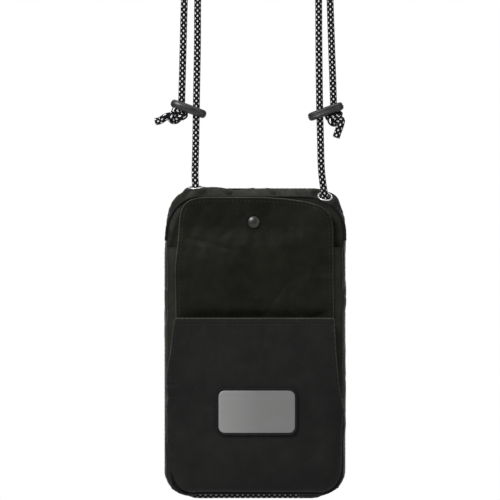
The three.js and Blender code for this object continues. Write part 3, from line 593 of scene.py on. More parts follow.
M_UPPER = fabric("cloth_upper", col((12, 13, 9)), col((25, 25, 19)), rough=0.44, spec=0.09, sheen=0.01)
M_LOWER = fabric("cloth_lower", col((18, 18, 18)), col((31, 31, 30)), rough=0.58, spec=0.08, sheen=0.02)
M_SIDE = fabric("cloth_side", col((18, 18, 15)), col((36, 36, 31)), rough=0.48, spec=0.11, sheen=0.02)
M_BODY = fabric("cloth_body", col((18, 18, 16)), col((31, 31, 28)), rough=0.52, spec=0.10, sheen=0.02)
M_LINING = fabric("cloth_lining", col((48, 48, 47)), col((64, 64, 62)), rough=0.7, weave=0.8, speck=False)
M_TRIM = fabric("cloth_trim", col((11, 11, 11)), col((22, 22, 21)), rough=0.6, weave=0.5, spec=0.12, sheen=0.02, speck=False)
# edge cloth of the bindings and hem rolls: its pale tone is partly the binding's own colour and partly painted
# highlight along the rolled edges
M_EDGE = fabric("cloth_edge", col((22, 22, 19)), col((56, 56, 50)), rough=0.5, weave=0.5, spec=0.2, sheen=0.05, speck=False)
M_FOAM = fabric("foam", col((80, 80, 84)), col((98, 98, 102)), rough=0.9, weave=1.1, speck=False)
M_THREAD = fabric("thread", col((24, 24, 22)), col((40, 40, 37)), rough=0.55, weave=0.35, bump=0.05, spec=0.2, sheen=0.03, speck=False)
M_BRAID = braid_mat("braid")
M_STEEL = metal("nickel", (0.72, 0.72, 0.725), 0.44, solid=0.72)
M_GUN = metal("gunmetal", (0.062, 0.062, 0.060), 0.38, scratch=0.16, tone=0.25)
M_RUBBER = rubber("stopper_rubber", (0.0115, 0.0115, 0.012), 0.38, 0.45)
M_FRAME = rubber("frame_rubber", (0.0035, 0.0035, 0.0035), 0.5, 0.16)


def label_mat():
    """Satin plate: fine horizontal brushing, slightly uneven, over a painted reflection gradient from lighter on the
    left to darker on the right.
    """
    g = Graph("label_metal")
    o = g.obj()
    m = g.node("ShaderNodeMapping")
    m.inputs["Scale"].default_value = (60, 60, 2600)
    g.link(o, m.inputs["Vector"])
    streak = g.noise(m.outputs[0], 1.0, 3, 0.6)
    s = g.node("ShaderNodeSeparateXYZ")
    g.link(o, s.inputs[0])
    # painted reflection: the base colour runs from light grey on the left to darker grey on the right across the plate
    across = g.range(s.outputs[0], V(-23.5, 0, 0).x, V(25.8, 0, 0).x, 0, 1)
    base = g.mix(g.range(across, 0.0, 0.55, 0.0, 1.0), (0.25, 0.25, 0.247, 1), (0.17, 0.17, 0.168, 1))
    c = g.mix(g.range(streak, 0.3, 0.7, 0.0, 0.16), base, (0.26, 0.26, 0.262, 1))
    g.put(g.bsdf.inputs["Base Color"], c)
    g.bsdf.inputs["Metallic"].default_value = 0.35
    g.put(g.bsdf.inputs["Roughness"], g.range(streak, 0.3, 0.7, 0.38, 0.52))
    g.link(g.bump(streak, 0.00001, 0.4), g.bsdf.inputs["Normal"])
    return g.m


M_LABEL = label_mat()

# ------------------------------------------------------------------ cords
CORD_D = 4.6
R0 = CORD_D / 2
REP = 3.4  # a repeat of the braid along the cord
COLS = 8  # columns of dots round it


def braid_radius(r=R0):
    def f(s, a):
        u = a / (2 * np.pi) * COLS + 0.5
        v = s / REP + 0.5 * (np.floor(u) % 2)
        fu, fv = u - np.floor(u) - 0.5, v - np.floor(v) - 0.5
        d = np.sqrt((fu * 3.45) ** 2 + (fv * 5.0) ** 2)
        dot = np.clip(1 - d, 0, 1)
        groove = np.exp(-(((d - 1.0) / 0.16) ** 2))
        return r - 0.10 + 0.14 * np.sqrt(dot) - 0.10 * groove + 0.02 * np.sin(s * 1.3)

    return f


def braid(name, path, body=None, step=0.6, r=R0, sides=32):
    p = resample(path, step)
    o = tube(name, p, braid_radius(r), M_BRAID, sides=sides, uv_scale=(COLS, 1.0 / REP))
    if body:
        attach(o, body)
    return o, p


def arch(x0, x1, y, z, a0, a1, n):
    t = np.radians(np.linspace(a0, a1, n + 1))
    r = (x1 - x0) / 2
    return [[(x0 + x1) / 2 - r * math.cos(k), y, z + r * math.sin(k)] for k in t]


ARCH_Z, RB, YC = 325.0, 9.6, 6.3
RC = RB + 0.9
bend = lambda s: [[s * (36.6 + RC * math.sin(math.radians(a))), YC, R0 + RC - RC * math.cos(math.radians(a))] for a in (80, 66, 53, 40, 27, 13)]
main_pts = (
    arch(-45.0, 40.4, 3.0, ARCH_Z, 0, 180, 16)
    + [[40.8, 3.05, 290], [41.2, 3.1, 256], [41.95, 3.15, 226], [42.35, 2.7, 212], [43.4, 2.7, 201.6], [44.75, 4.2, 193.4], [45.5, 6.0, 187], [47.2, 6.9, 178], [48.4, 6.5, 168], [48.4, YC, 155], [48.4, YC, 90], [48.4, YC, 28], [48.32, YC, 22.5], [47.85, YC, 16.2]]
    + bend(1) + [[36.6, YC, R0], [20, YC, R0], [0, YC, R0], [-20, YC, R0], [-36.6, YC, R0]] + bend(-1)[::-1]
    + [[-47.85, YC, 16.2], [-48.32, YC, 22.5], [-48.4, YC, 28], [-48.4, YC, 90], [-48.4, YC, 155], [-48.2, 6.5, 168], [-45, 6.6, 179], [-40.2, 6.4, 189.5], [-38.2, 6.5, 198.6], [-38.4, 7.0, 206.4], [-37.98, 7.95, 226], [-37.5, 8.4, 256], [-36.9, 8.72, 290]]
    + arch(-36.5, 47.9, 9.0, ARCH_Z, 0, 180, 16)
)
cord_main, main_path = braid("cord_main", spline(main_pts, 10))
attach(cord_main, "pouch")
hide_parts("cord_loop_a", "cord_under", "cord_loop_b")

outer = {
    "left": ([-45.0, 3.0, ARCH_Z - 0.2], [-46.9, 8.4, 256.8], [-47.12, 9.0, 249.0]),
    "right": ([47.9, 9.0, ARCH_Z - 0.2], [50.05, 3.5, 256.8], [50.28, 2.95, 247.8]),
}


# overhand knots: a three-lobed turn of cord opened at one lobe, its ends led to the stopper and to the tail
def knot_path(centre, lead_in, tail, size, turn, mirror=False, flat=0.72):
    t = np.linspace(math.pi + 0.42, 3 * math.pi - 0.42, 70)
    x, y, z = np.sin(t) + 2 * np.sin(2 * t), np.cos(t) - 2 * np.cos(2 * t), -np.sin(3 * t)
    # the opened lobe lies towards +x after this turn
    a = math.atan2(np.cos(math.pi) - 2 * np.cos(2 * math.pi), np.sin(math.pi) + 2 * np.sin(2 * math.pi))
    c, s = math.cos(math.radians(turn) - a), math.sin(math.radians(turn) - a)
    X, Z = (x * c - y * s) * size * 1.12, (x * s + y * c) * size * flat
    if mirror:
        X = -X
    pts = np.stack([centre[0] + X, centre[1] + z * 1.75, centre[2] + Z], 1)
    if np.linalg.norm(pts[0] - lead_in[-1]) > np.linalg.norm(pts[-1] - lead_in[-1]):
        pts = pts[::-1]
    return spline([*lead_in, *pts[::5], *tail], 8)


kl = knot_path([-50.6, 8.6, 245.4], [[-46.95, 8.6, 251.6], [-47.3, 8.9, 249.8]], [[-57.4, 7.2, 244.2], [-60.4, 8.2, 242.3], [-63.8, 8.8, 241.3]], 1.62, 130)
kr = knot_path([51.2, 3.4, 243.6], [[50.25, 3.1, 249.9], [50.5, 3.0, 248.0]], [[55.0, 1.6, 242.2], [54.6, 0.9, 239.2], [53.3, 1.0, 235.6], [51.7, 1.3, 230.9]], 1.55, 20)
for tag, path in (("left", kl), ("right", kr)):
    k, kp = braid(f"knot_{tag}_turns", path, f"stopper_{tag}", r=R0 * 1.06)
    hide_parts(f"knot_{tag}", f"cord_tail_{tag}")


# stoppers
def stopper(tag, at, tilt, holes):
    L, W, T = 12.0, 6.0, 2.9
    n, rows = (96), []
    prof = []
    for a in np.linspace(-90, 90, 49):
        r = math.radians(a)
        h = (T - 0.25) * math.copysign(abs(math.sin(r)) ** 0.92, a)
        inset = 2.3 * (1 - max(0.0, math.cos(r)) ** 0.95)
        g = (0.55 * math.exp(-(((h - 0.7) / 0.30) ** 2)) + 0.3 * math.exp(-(((h + 0.5) / 0.25) ** 2))) if tilt > 0 else 0.0
        prof.append((inset + g, h))
    verts, faces = [], []
    th = np.linspace(0, 2 * np.pi, n, endpoint=False)
    ex = 2 / 2.5
    for inset, h in prof:
        for a in th:
            ca, sa = math.cos(a), math.sin(a)
            verts.append([(L - inset) * math.copysign(abs(ca) ** ex, ca), (W - inset) * math.copysign(abs(sa) ** ex, sa), h])
    k = len(prof)
    for i in range(k - 1):
        for j in range(n):
            faces.append((i * n + j, i * n + (j + 1) % n, (i + 1) * n + (j + 1) % n, (i + 1) * n + j))
    verts += [[0, 0, -T], [0, 0, T]]
    for j in range(n):
        faces.append((k * n, (j + 1) % n, j))
        faces.append((k * n + 1, (k - 1) * n + j, (k - 1) * n + (j + 1) % n))
    a = math.radians(tilt)
    R = np.array([[math.cos(a), 0, -math.sin(a)], [0, 1, 0], [math.sin(a), 0, math.cos(a)]])
    verts = np.array(verts) @ R.T + np.array(at)
    o = make(f"stopper_{tag}_body", verts, outward(verts, faces), None, M_RUBBER, 75)
    for p, q, r in holes:
        p, q = np.array(p, float), np.array(q, float)
        d = (q - p) / np.linalg.norm(q - p)
        c = revolve("hole", p, d, [[0, -16], [r, -16], [r, 16], [0, 16]], None, 40)
        cut(o, c)
    o.data.set_sharp_from_angle(angle=math.radians(50))
    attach(o, f"stopper_{tag}")
    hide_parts(f"stopper_{tag}")
    return o


stop_l = stopper("left", [-42.6, 8.5, 249.6], -20, [([-47.06, 8.85, 251.2], outer["left"][0], R0 + 0.25), ([-37.42, 8.31, 247.7], [-36.9, 8.72, 290], R0 + 0.55)])
stop_r = stopper("right", [45.2, 3.3, 247.7], 20, [([50.27, 2.93, 249.6], outer["right"][0], R0 + 0.25), ([41.31, 3.12, 246.2], [40.8, 3.05, 290], R0 + 0.55)])

cords = {}
for tag, stop in (("left", stop_l), ("right", stop_r)):
    top, low, end = outer[tag]
    path = spline([top, [(a + b) / 2 for a, b in zip(top, low)], low, end], 16)
    o, p = braid(f"cord_outer_{tag}_strand", path)
    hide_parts(f"cord_outer_{tag}", f"cord_end_{tag}")
    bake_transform(o)
    cords[tag] = (o, p)


for tag, stop in (("left", stop_l), ("right", stop_r)):
    o, p = cords[tag]

# ------------------------------------------------------------------ body outlines
FRONT = dict(hw=56.3, z0=4.6, z1=192.0, rt=20, rb=13, mid=5.2)
CROWN = dict(hw=58.0, z0=2.5, z1=199.0, rt=20, rb=15, mid=5.2)
BACK = dict(hw=56.6, z0=3.8, z1=197.2, rt=19, rb=14, mid=5.2)
EYE_R = dict(at=[44.8, 4.3, 193.0], n=[0.1, -0.56, 0.82], seat=10.5)
EYE_L = dict(at=[-38.0, 6.3, 198.8], n=[-0.04, -0.18, 0.98], seat=8.4)
FINE = 1.0


def grown(o, d):
    return dict(hw=o["hw"] + d, z0=o["z0"] - d, z1=o["z1"] + d, rt=o["rt"] + d, rb=o["rb"] + d, mid=o["mid"] - d)


def blend_outline(a, b, t):
    return {k: a[k] * (1 - t) + b[k] * t for k in a}


def lift(o, x, z):
    m = 1 - smooth(37, 45, np.abs(x))
    return max(0, o["mid"] - o["z0"]) * m * (1 - smooth(o["z0"] + 3, o["z0"] + 12, z))


def loop(o, step=1.2):
    """The closed outline in x and z, the same number of points whatever the outline, from the top middle clockwise."""
    n_top, n_arc, n_side, n_arcb, n_bot = [max(3, int(k / step)) for k in (38, 31, 165, 22, 44)]
    pts = []

    def line(a, b, n):
        for i in range(n):
            pts.append([a[0] + (b[0] - a[0]) * i / n, a[1] + (b[1] - a[1]) * i / n])

    def arc(cx, cz, r, a0, a1, n):
        for i in range(n):
            a = math.radians(a0 + (a1 - a0) * i / n)
            pts.append([cx + r * math.cos(a), cz + r * math.sin(a)])

    hw, z0, z1, rt, rb = (o[k] for k in ("hw", "z0", "z1", "rt", "rb"))
    line((0, z1), (hw - rt, z1), n_top)
    arc(hw - rt, z1 - rt, rt, 90, 0, n_arc)
    line((hw, z1 - rt), (hw, z0 + rb), n_side)
    arc(hw - rb, z0 + rb, rb, 0, -90, n_arcb)
    line((hw - rb, z0), (-hw + rb, z0), 2 * n_bot)
    arc(-hw + rb, z0 + rb, rb, 270, 180, n_arcb)
    line((-hw, z0 + rb), (-hw, z1 - rt), n_side)
    arc(-hw + rt, z1 - rt, rt, 180, 90, n_arc)
    line((-hw + rt, z1), (0, z1), n_top)
    p = np.array(pts)
    p[:, 1] += lift(o, p[:, 0], p[:, 1])
    p[:, 0] += 1.7 * smooth(155, 183, p[:, 1]) * smooth(20, 56, -p[:, 0]) - 0.9 * smooth(168, 184, p[:, 1]) * smooth(20, 56, p[:, 0])
    return p


def arclength(p, closed=True):
    q = np.concatenate([p, p[:1]]) if closed else p
    d = np.linalg.norm(np.diff(q, axis=0), axis=1)
    return np.concatenate([[0], np.cumsum(d)])[: len(p)], d.sum()


def seat(P, eye, depth):
    n = np.array(eye["n"]) / np.linalg.norm(eye["n"])
    d = P - np.array(eye["at"])
    s = d @ n
    flat = np.linalg.norm(d - s[..., None] * n, axis=-1)
    w = (1 - smooth(5.6, eye["seat"], flat)) * (np.abs(s) <= 9)
    return P + ((depth - s) * w)[..., None] * n


# gusset and top: one strip of cloth all round, from the front seam over the crown to the back seam
base = loop(FRONT, FINE * 1.1)
arc_s, total = arclength(base)
rows_y = [-2.1, -1.5, -1.1, -0.5, 0.2, 1.2, 2.2, 3.2, 4.2, 5.4, 6.7, 8.0, 9.0, 10.0, 10.9, 11.5]
rows_y = sorted(rows_y + [round((a + b) / 2, 3) for a, b in zip(rows_y[:-1], rows_y[1:])])
grid = []
for y in rows_y:
    t = 1 - (1 - min(1, max(0, y + 1.1) / 9.1)) ** 2.0
    o = blend_outline(FRONT, CROWN, t) if y <= 8 else blend_outline(CROWN, BACK, ((y - 8) / 3.5) ** 1.6)
    p = loop(grown(o, -0.6 if y > -1.1 else -0.35), FINE * 1.1)
    ax_ = np.abs(p[:, 0])
    near = float((1 - smooth(1.9, 3.3, y)) * smooth(-2.2, -0.8, y)) * (p[:, 1] < 12)
    zt = np.where(p[:, 0] < 0, np.interp(ax_, [33, 36, 38, 40, 44, 48, 53], [5.6, 4.4, 2.6, 1.8, 2.3, 3.5, 6.6]), np.interp(ax_, [23, 26, 29, 33, 37.6, 41, 44.4, 48, 52], [5.6, 4.0, 1.4, 0.8, 1.2, 1.8, 2.7, 4.4, 6.9]))
    p[:, 1] -= np.maximum(0, p[:, 1] - 0.6 - zt) * (ax_ < 53) * near
    grid.append(np.stack([p[:, 0], np.full(len(p), y), p[:, 1]], 1))
P = np.array(grid)
N = grid_normals(P, True)
if (N[:, :, 2] * np.sign(P[:, :, 2] - 100)).sum() < 0:
    N = -N
Y = P[..., 1]
ARC = np.broadcast_to(arc_s, Y.shape)
inner = np.clip((Y + 1.1) / 2.2, 0, 1) * np.clip((11.5 - Y) / 1.5, 0, 1)
top_w = smooth(178, 190, P[..., 2])
# crosswise gathers of the sewn strip, and longer soft dents along it
gather = ridge(ARC / 8.5 + 0.3 * vnoise(ARC / 5, Y / 6, 5), Y / 16.0, 3, 5)
dent = fbm(ARC / 19.0, Y / 9.0, 8, 3)
amp = 0.42 + 0.30 * top_w
bottom_w = 1 - smooth(4, 16, P[..., 2])
disp = inner * (dent * 0.75 - gather * amp) * (1 - 0.55 * bottom_w)
for x0, w0, k in ((-15.0, 2.0, 2.3), (13.6, 1.9, 2.1), (-29.5, 1.3, 0.8), (2.0, 1.7, 0.6), (29.5, 1.3, 0.9)):
    fold_w = np.exp(-(((Y - 1.2) / 2.6) ** 2)) * np.clip((Y + 1.1) / 0.9, 0, 1)
    disp = disp - fold_w * top_w * k * np.exp(-(((P[..., 0] - x0 + 0.55 * (Y - 1)) / (w0 * (1 + 0.25 * np.clip(Y, 0, 6)))) ** 2))
for sx, x0, z0, k in ((1, 51.0, 187.0, 1.5), (-1, -47.5, 187.0, 1.1)):
    d = (P[..., 0] - x0) * 0.55 * sx + (P[..., 2] - z0) * 0.83
    disp = disp - inner * k * np.exp(-((d / 1.4) ** 2)) * (np.abs(P[..., 0]) > 40) * smooth(1.0, 4.0, Y)
disp = disp + top_w * inner * 0.5 * vnoise(P[..., 0] / 15.0, Y / 30.0 + 3, 91)
for x0, w0, k in ((-10.4, 5.5, -1.1), (-25.0, 8.0, 0.5), (10.0, 10.0, 0.35), (33.5, 5.0, -0.9)):
    disp = disp + top_w * inner * k * np.exp(-(((P[..., 0] - x0) / w0) ** 2))
disp = np.clip(disp, -2.6, 0.75)
P = P + N * disp[..., None]
P = seat(seat(P, EYE_R, -0.32), EYE_L, -0.32)
across = np.concatenate([[0], np.cumsum(np.linalg.norm(np.diff(P[:, 0], axis=0), axis=1))])
uv = np.stack([np.broadcast_to(arc_s, (len(P), P.shape[1])), np.repeat(across[:, None], P.shape[1], 1)], 2)
band = sheet("gusset_strip", P, 1.15, uv, M_SIDE, ring=True, smooth_deg=70)
cuts = [revolve("h", e_["at"], e_["n"], [[0, -4], [4.15, -4], [4.15, 4], [0, 4]], None, 40) for e_ in (EYE_R, EYE_L)]
for s_ in (-1, 1):
    pts = [(s_ * 44.0 + a, b) for a, b in rounded(0, 6.5, 15.6, 6.4, 3.1, 6)]
    vv = [[x, y, z] for z in (-4.0, 9.0) for x, y in pts]
    n_ = len(pts)
    fc = [tuple(range(n_)), tuple(range(2 * n_ - 1, n_ - 1, -1))] + [(i, (i + 1) % n_, n_ + (i + 1) % n_, n_ + i) for i in range(n_)]
    fc2 = outward(vv, [(0, i, i + 1) for i in range(1, n_ - 1)] + [(n_, n_ + i + 1, n_ + i) for i in range(1, n_ - 1)] + [(i, (i + 1) % n_, n_ + (i + 1) % n_, n_ + i)[::-1] for i in range(n_)])
    cuts.append(make("slot", np.array(vv), fc2, None, None, 30))
cut(band, *cuts)
band.data.set_sharp_from_angle(angle=math.radians(70))
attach(band, "pouch")
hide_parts("gusset_left", "gusset_right", "gusset_bottom", "top_gusset")


def done(o, slot, body="pouch", *nodes):
    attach(o, body)
    if nodes:
        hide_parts(*nodes)
    return o


# ------------------------------------------------------------------ flat panels
def panel(name, o, y0, y1, mat, bumps=0.0, seed=1, slot="shell_fabric", nodes=(), z_clip=None, folds=()):
    """A flat cloth panel filling an outline, as a grid of rings drawn in to the middle."""
    p = loop(o, FINE * 2.2)
    if z_clip:
        p[:, 1] = np.clip(p[:, 1], *z_clip)
    c = np.array([0.0, 100.0])
    ks = np.concatenate([np.linspace(0.04, 0.82, 15), [0.85, 0.875, 0.9, 0.92, 0.94, 0.955, 0.97, 0.985, 1.0]])
    G = []
    for k in ks:
        q = c + (p - c) * k
        y = (y0 + y1) / 2 + bumps * fbm(q[:, 0] / 24, q[:, 1] / 24, seed) * min(1, (1 - k) * 8)
        for ax, az, bx, bz, h, w in folds:
            e_ = np.array([bx - ax, bz - az]) / math.hypot(bx - ax, bz - az)
            r_ = q - np.array([ax, az])
            al, ac = r_ @ e_, r_[:, 0] * e_[1] - r_[:, 1] * e_[0]
            y = y - h * np.exp(-((ac / w) ** 2)) * smooth(-4, 2, al) * (1 - smooth(math.hypot(bx - ax, bz - az) - 1, math.hypot(bx - ax, bz - az) + 4, al)) * min(1.0, (1 - k) * 25 + 0.25)
        G.append(np.stack([q[:, 0], y, q[:, 1]], 1))
    G = np.array(G)
    m, n, _ = G.shape
    A, B = G - np.array([0, (y1 - y0) / 2, 0]), G + np.array([0, (y1 - y0) / 2, 0])
    verts = np.concatenate([A.reshape(-1, 3), B.reshape(-1, 3), [[0, (A[0, :, 1]).mean(), 100]], [[0, B[0, :, 1].mean(), 100]]])
    k = m * n
    faces = []
    for i in range(m - 1):
        for j in range(n):
            j2 = (j + 1) % n
            faces.append((i * n + j, i * n + j2, (i + 1) * n + j2, (i + 1) * n + j))
            faces.append((k + (i + 1) * n + j, k + (i + 1) * n + j2, k + i * n + j2, k + i * n + j))
    for j in range(n):
        j2 = (j + 1) % n
        faces.append((2 * k, j2, j))
        faces.append((2 * k + 1, k + j, k + j2))
        a, b = (m - 1) * n + j, (m - 1) * n + j2
        faces.append((a, b, k + b, k + a))
    return make(name, verts, outward(verts, faces), verts[:, [0, 2]], mat, 60)


part_o = done(panel("partition", grown(FRONT, -0.3), -2.6, -1.4, M_SIDE, 0.15, 21, folds=((46, 182, 57, 174.5, 1.5, 1.5), (48, 168, 57, 166, 0.8, 2.0), (-57, 160, -48, 184, 0.9, 2.2), (-57, 171, -47, 171, 0.7, 1.4))), "shell_fabric", "pouch", "partition_panel")
lin_f = done(panel("lining_front_sheet", grown(FRONT, -4.5), -1.1, -0.6, M_LINING, 0, 22), "lining_fabric", "pouch", "lining_front")

# back panel, with a soft quilting of the padding behind it, and the zip's slot
bp = panel("back_cloth", grown(BACK, -0.2), 11.8, 12.9, M_BODY, 0.22, 31)
slot_cut = prism("slot_cut", rounded(0, 175, 90, 6.6, 1.2, 6), 9.5, 16)
cut(bp, slot_cut)
done(bp, "shell_fabric", "pouch", "back_panel")

LOW = dict(hw=53.2, z0=12, z1=160, rt=3, rb=10, mid=12)
pad = done(panel("pad_foam", grown(LOW, -1.5), 10.2, 11.5, M_FOAM, 0, 41), "foam", "pouch", "back_padding")
lin_b = done(panel("lining_back_sheet", LOW, 9.4, 9.9, M_LINING, 0, 42), "lining_fabric", "pouch", "lining_back")


# ------------------------------------------------------------------ front layers
def rnd(t):
    t = np.clip(t, 0, 1)
    return np.sqrt(np.maximum(0, 1 - (1 - t) ** 2))


def slip_half0(z):
    return np.interp(z, [0, 30, 50, 70, 84, 98, 116], [54.3, 54.6, 55.4, 55.0, 53.6, 51.2, 49.9])


def slip_half(z, side):
    left = np.interp(z, [0, 10, 24, 37, 50, 57.4, 66, 75.5, 80.6, 98, 112, 116], [52.0, 51.8, 52.1, 52.8, 53.9, 55.7, 54.9, 55.8, 55.6, 52.8, 51.2, 50.3])
    right = np.interp(z, [0, 30, 46, 52.9, 62.6, 75.5, 98, 116], [54.0, 54.8, 55.2, 56.0, 54.9, 52.5, 50.7, 49.8])
    return np.where(side < 0, left, right)


def front_half(z, side):
    left = np.interp(z, [0, 40, 70, 95, 118, 148, 156, 164, 172, 176], [52.4, 52.6, 51.6, 50.3, 50.0, 50.4, 49.6, 48.7, 48.1, 48.0])
    right = np.interp(z, [0, 40, 70, 95, 160, 176], [54.0, 54.0, 51.5, 49.7, 49.2, 49.2])
    return np.where(side < 0, left, right)


def bottom_edge(x, hw):
    r = 14.0
    z0 = 5.0 + 0.5 * (1 - smooth(37, 45, np.abs(x)))
    e = np.clip(np.abs(x) - (hw - r), 0, r)
    return z0 + r - np.sqrt(np.maximum(0, r * r - e * e))


def fullness(x, z, hw):
    up = rnd((z - bottom_edge(x, hw)) / 30)
    k = smooth(44, 66, z)
    return up * (rnd((hw - np.abs(x)) / 13 + 0.02) * (1 - k) + k)


def front_y(x, z):
    return -3.5 - 5.8 * fullness(x, z, slip_half0(z))


def slip_y(x, z):
    return -5.2 - 10.3 * fullness(x, z, slip_half0(z))


FLAP_TOP = [(-48.0, 174), (-47.8, 178), (-47.2, 182.2), (-46.2, 185.6), (-44.4, 188.4), (-41.9, 190.4), (-38, 191.7), (-34, 192.3), (-30, 192.5), (4.5, 192.4), (18, 191.6), (32, 189.7), (38, 188.1), (41.9, 186.5), (44.8, 184.4), (47.0, 181.8), (48.4, 178.6), (49.1, 174)]


def flap_top(x):
    return table(FLAP_TOP, x)


def flap_y(z):
    return np.interp(z, [150, 157, 162, 166, 170, 174, 193], [-9.3, -9.3, -9.1, -8.5, -7.8, -7.3, -7.2])


nu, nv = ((150, 190))
tt = np.linspace(-1, 1, nu)
us = np.sign(tt) * (1 - (1 - np.abs(tt)) ** 1.55)
vs = np.linspace(0, 1, nv) ** 0.96


def creases(X, Z, seed):
    """Soft folds of a handled cloth: broad swells and a few slanting creases."""
    a = (X * 0.80 + Z * 0.60) / 17.0 + 0.45 * vnoise(X / 22, Z / 22, seed + 3)
    b = (X * -0.55 + Z * 0.83) / 21.0 + 0.45 * vnoise(X / 26, Z / 26, seed + 5)
    return 0.75 * fbm(X / 30, Z / 34, seed, 3) + 0.40 * ridge(a, (X * -0.6 + Z * 0.8) / 70, seed + 1, 4) - 0.40 * ridge(b, X / 60, seed + 2, 4) + 0.12 * vnoise(X / 4.5, Z / 5.5, seed + 9)


Z0 = np.zeros((nv, nu))
side = np.sign(us)[None, :] + Z0
xt = us[None, :] * front_half(176, side)
zb = bottom_edge(us[None, :] * 54.0, 54.0) + 0.2
ztop = flap_top(xt)
Z = zb + (ztop - zb) * vs[:, None]
X = us[None, :] * front_half(Z, side)
Yf = np.where(Z < 155, front_y(X, Z), 0) + np.where(Z >= 155, flap_y(Z), 0)
w_edge = smooth(0, 8, (1 - np.abs(us))[None, :] * 50) * 0.75 + 0.25
vis = smooth(96, 118, Z) * 1.35
snapd = np.hypot(X + 0.8, Z - 177.0)
ang = np.arctan2(Z - 177.0, X + 0.8)
D = creases(X, Z, 61) * 0.85 + 0.12 * np.sin(ang * 8 + 2.0 * vnoise(X / 14, Z / 14, 77)) * np.exp(-snapd / 16.0) * smooth(4, 9, snapd)
D += 0.55 * np.exp(-(((Z - 150.5) / 9.0) ** 2)) * np.exp(-(((X + 27) / 17.0) ** 2)) - 0.30 * np.exp(-(((Z - 156) + 0.25 * X) / 1.8) ** 2) * (np.abs(X) > 6) * smooth(6, 22, np.abs(X))
D = D * (1 - 0.6 * np.exp(-(((X + 10) / 12.0) ** 2 + ((Z - 165.5) / 8.0) ** 2)))
D = D * w_edge * vis * smooth(4.5, 8.0, snapd) - 0.28 * np.exp(-((snapd / 7.0) ** 2))
near_top = smooth(0, 3.2, ztop - Z)
recess = 1.7 * (1 - smooth(115.5, 124 + 5 * np.exp(-(((X + 43) / 6.0) ** 2)), Z)) * smooth(0, 10, (1 - np.abs(us))[None, :] * 50)
Yf = Yf - D * (0.25 + 0.75 * near_top) + recess * smooth(85, 100, Z)
P = np.stack([X, Yf, Z], 2)
front = sheet("front_cloth", P, 1.1, np.stack([X, Z], 2), M_UPPER, towards=(0, -1, 0))
cut(front, revolve("h", [-0.8, -7.2, 177.0], [0, 1, 0], [[0, -4], [1.3, -4], [1.3, 4], [0, 4]], None, 20))
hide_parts("front_panel", "flap_panel")
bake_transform(front)

# thin bound edge round the front cloth's free outline
edge_l = [P[i, 0] for i in range(nv) if 112 < Z[i, 0]]
edge_t = [P[-1, j] for j in range(1, nu - 1)]
edge_r = [P[i, -1] for i in range(nv - 1, -1, -1) if 112 < Z[i, -1]]
edge_path = resample(np.array(edge_l + edge_t + edge_r), 0.9)
for _ in range(3):
    edge_path[1:-1] = (edge_path[:-2] + edge_path[1:-1] * 2 + edge_path[2:]) / 4
bind = tube("edge_binding", edge_path, lambda s, a: 0.54 + 0.06 * np.sin(s * 2.4) + 0 * a, M_EDGE, sides=12, uv_scale=(4.6, 1))
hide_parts("flap_binding")
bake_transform(bind)


def surface_row(pts, fy, lift_mm):
    """Points and normals on a front layer from x, z pairs."""
    pts = np.array(pts, float)
    y = fy(pts[:, 0], pts[:, 1]) - lift_mm
    e_ = 0.4
    gx = (fy(pts[:, 0] + e_, pts[:, 1]) - fy(pts[:, 0] - e_, pts[:, 1])) / (2 * e_)
    gz = (fy(pts[:, 0], pts[:, 1] + e_) - fy(pts[:, 0], pts[:, 1] - e_)) / (2 * e_)
    n = np.stack([gx, -np.ones(len(pts)), gz], 1)
    return np.stack([pts[:, 0], y, pts[:, 1]], 1), n / np.linalg.norm(n, axis=1, keepdims=True)


def mesh_y(P3):
    """Depth of a built layer at x, z, from its grid."""
    gx, gz, gy = P3[..., 0].ravel(), P3[..., 2].ravel(), P3[..., 1].ravel()

    def f(x, z):
        out = np.empty(len(x))
        for k in range(len(x)):
            d = (gx - x[k]) ** 2 + (gz - z[k]) ** 2
            i4 = np.argpartition(d, 4)[:4]
            w = 1 / (d[i4] + 1e-3)
            out[k] = (gy[i4] * w).sum() / w.sum()
        return out

    return f


# stitch rows on the front cloth
in_path = []
for p, q in zip(edge_path[:-1], edge_path[1:]):
    t_ = (q - p) / np.linalg.norm(q - p)
    in_path.append([p[0] + t_[2] * 2.0, p[2] - t_[0] * 2.0])
in_path = np.array(in_path)
fy_front = mesh_y(P)
row, nrm = surface_row(in_path, lambda x, z: fy_front(x, z), 0.55)
nrm = np.tile([0, -1.0, 0], (len(row), 1))
st = stitches("edge_stitches", row, nrm, M_THREAD, 2.6, 1.8, 0.17, 0.0)
if st:
    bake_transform(st)

# slip pocket
nv2 = 130
vs2 = np.linspace(0, 1, nv2) ** 1.05
side2 = np.sign(us)[None, :] + np.zeros((nv2, nu))
zb2 = bottom_edge(us[None, :] * 54.3, 54.3)
Z2 = zb2 + (115.9 - zb2) * vs2[:, None]
X2 = us[None, :] * slip_half(Z2, side2)
lab = np.maximum(np.abs(X2 - 1.1) - 25.5, np.abs(Z2 - 56.2) - 15)
free = smooth(0, 9, lab)
edge2 = smooth(0, 7, (1 - np.abs(us))[None, :] * 50)
D2 = creases(X2, Z2, 131) * 0.95 * free * (0.35 + 0.65 * edge2)
side_gather = ridge(Z2 / 8.0 + 0.4 * vnoise(X2 / 6, Z2 / 9, 71), X2 / 30, 72, 4) * np.exp(-(((1 - np.abs(us))[None, :] * 50) / 7.0)) * (Z2 < 75)
D2 = D2 - 0.55 * side_gather + 0.30 * smooth(112.5, 113.3, Z2)
bot = np.exp(-((Z2 - zb2) / 6.0)) * ridge(X2 / 9.0, Z2 / 20, 74, 4) * 0.5
D2 = D2 - bot
Y2 = slip_y(X2, Z2) - np.clip(D2, -1.1, 1.0)
P2 = np.stack([X2, Y2, Z2], 2)
slip = done(sheet("slip_pocket_cloth", P2, 1.1, np.stack([X2, Z2], 2), M_LOWER, towards=(0, -1, 0)), "shell_fabric", "pouch", "slip_pocket", "slip_pocket_hem")
hem_path = np.array([P2[-1, j] for j in range(nu)])
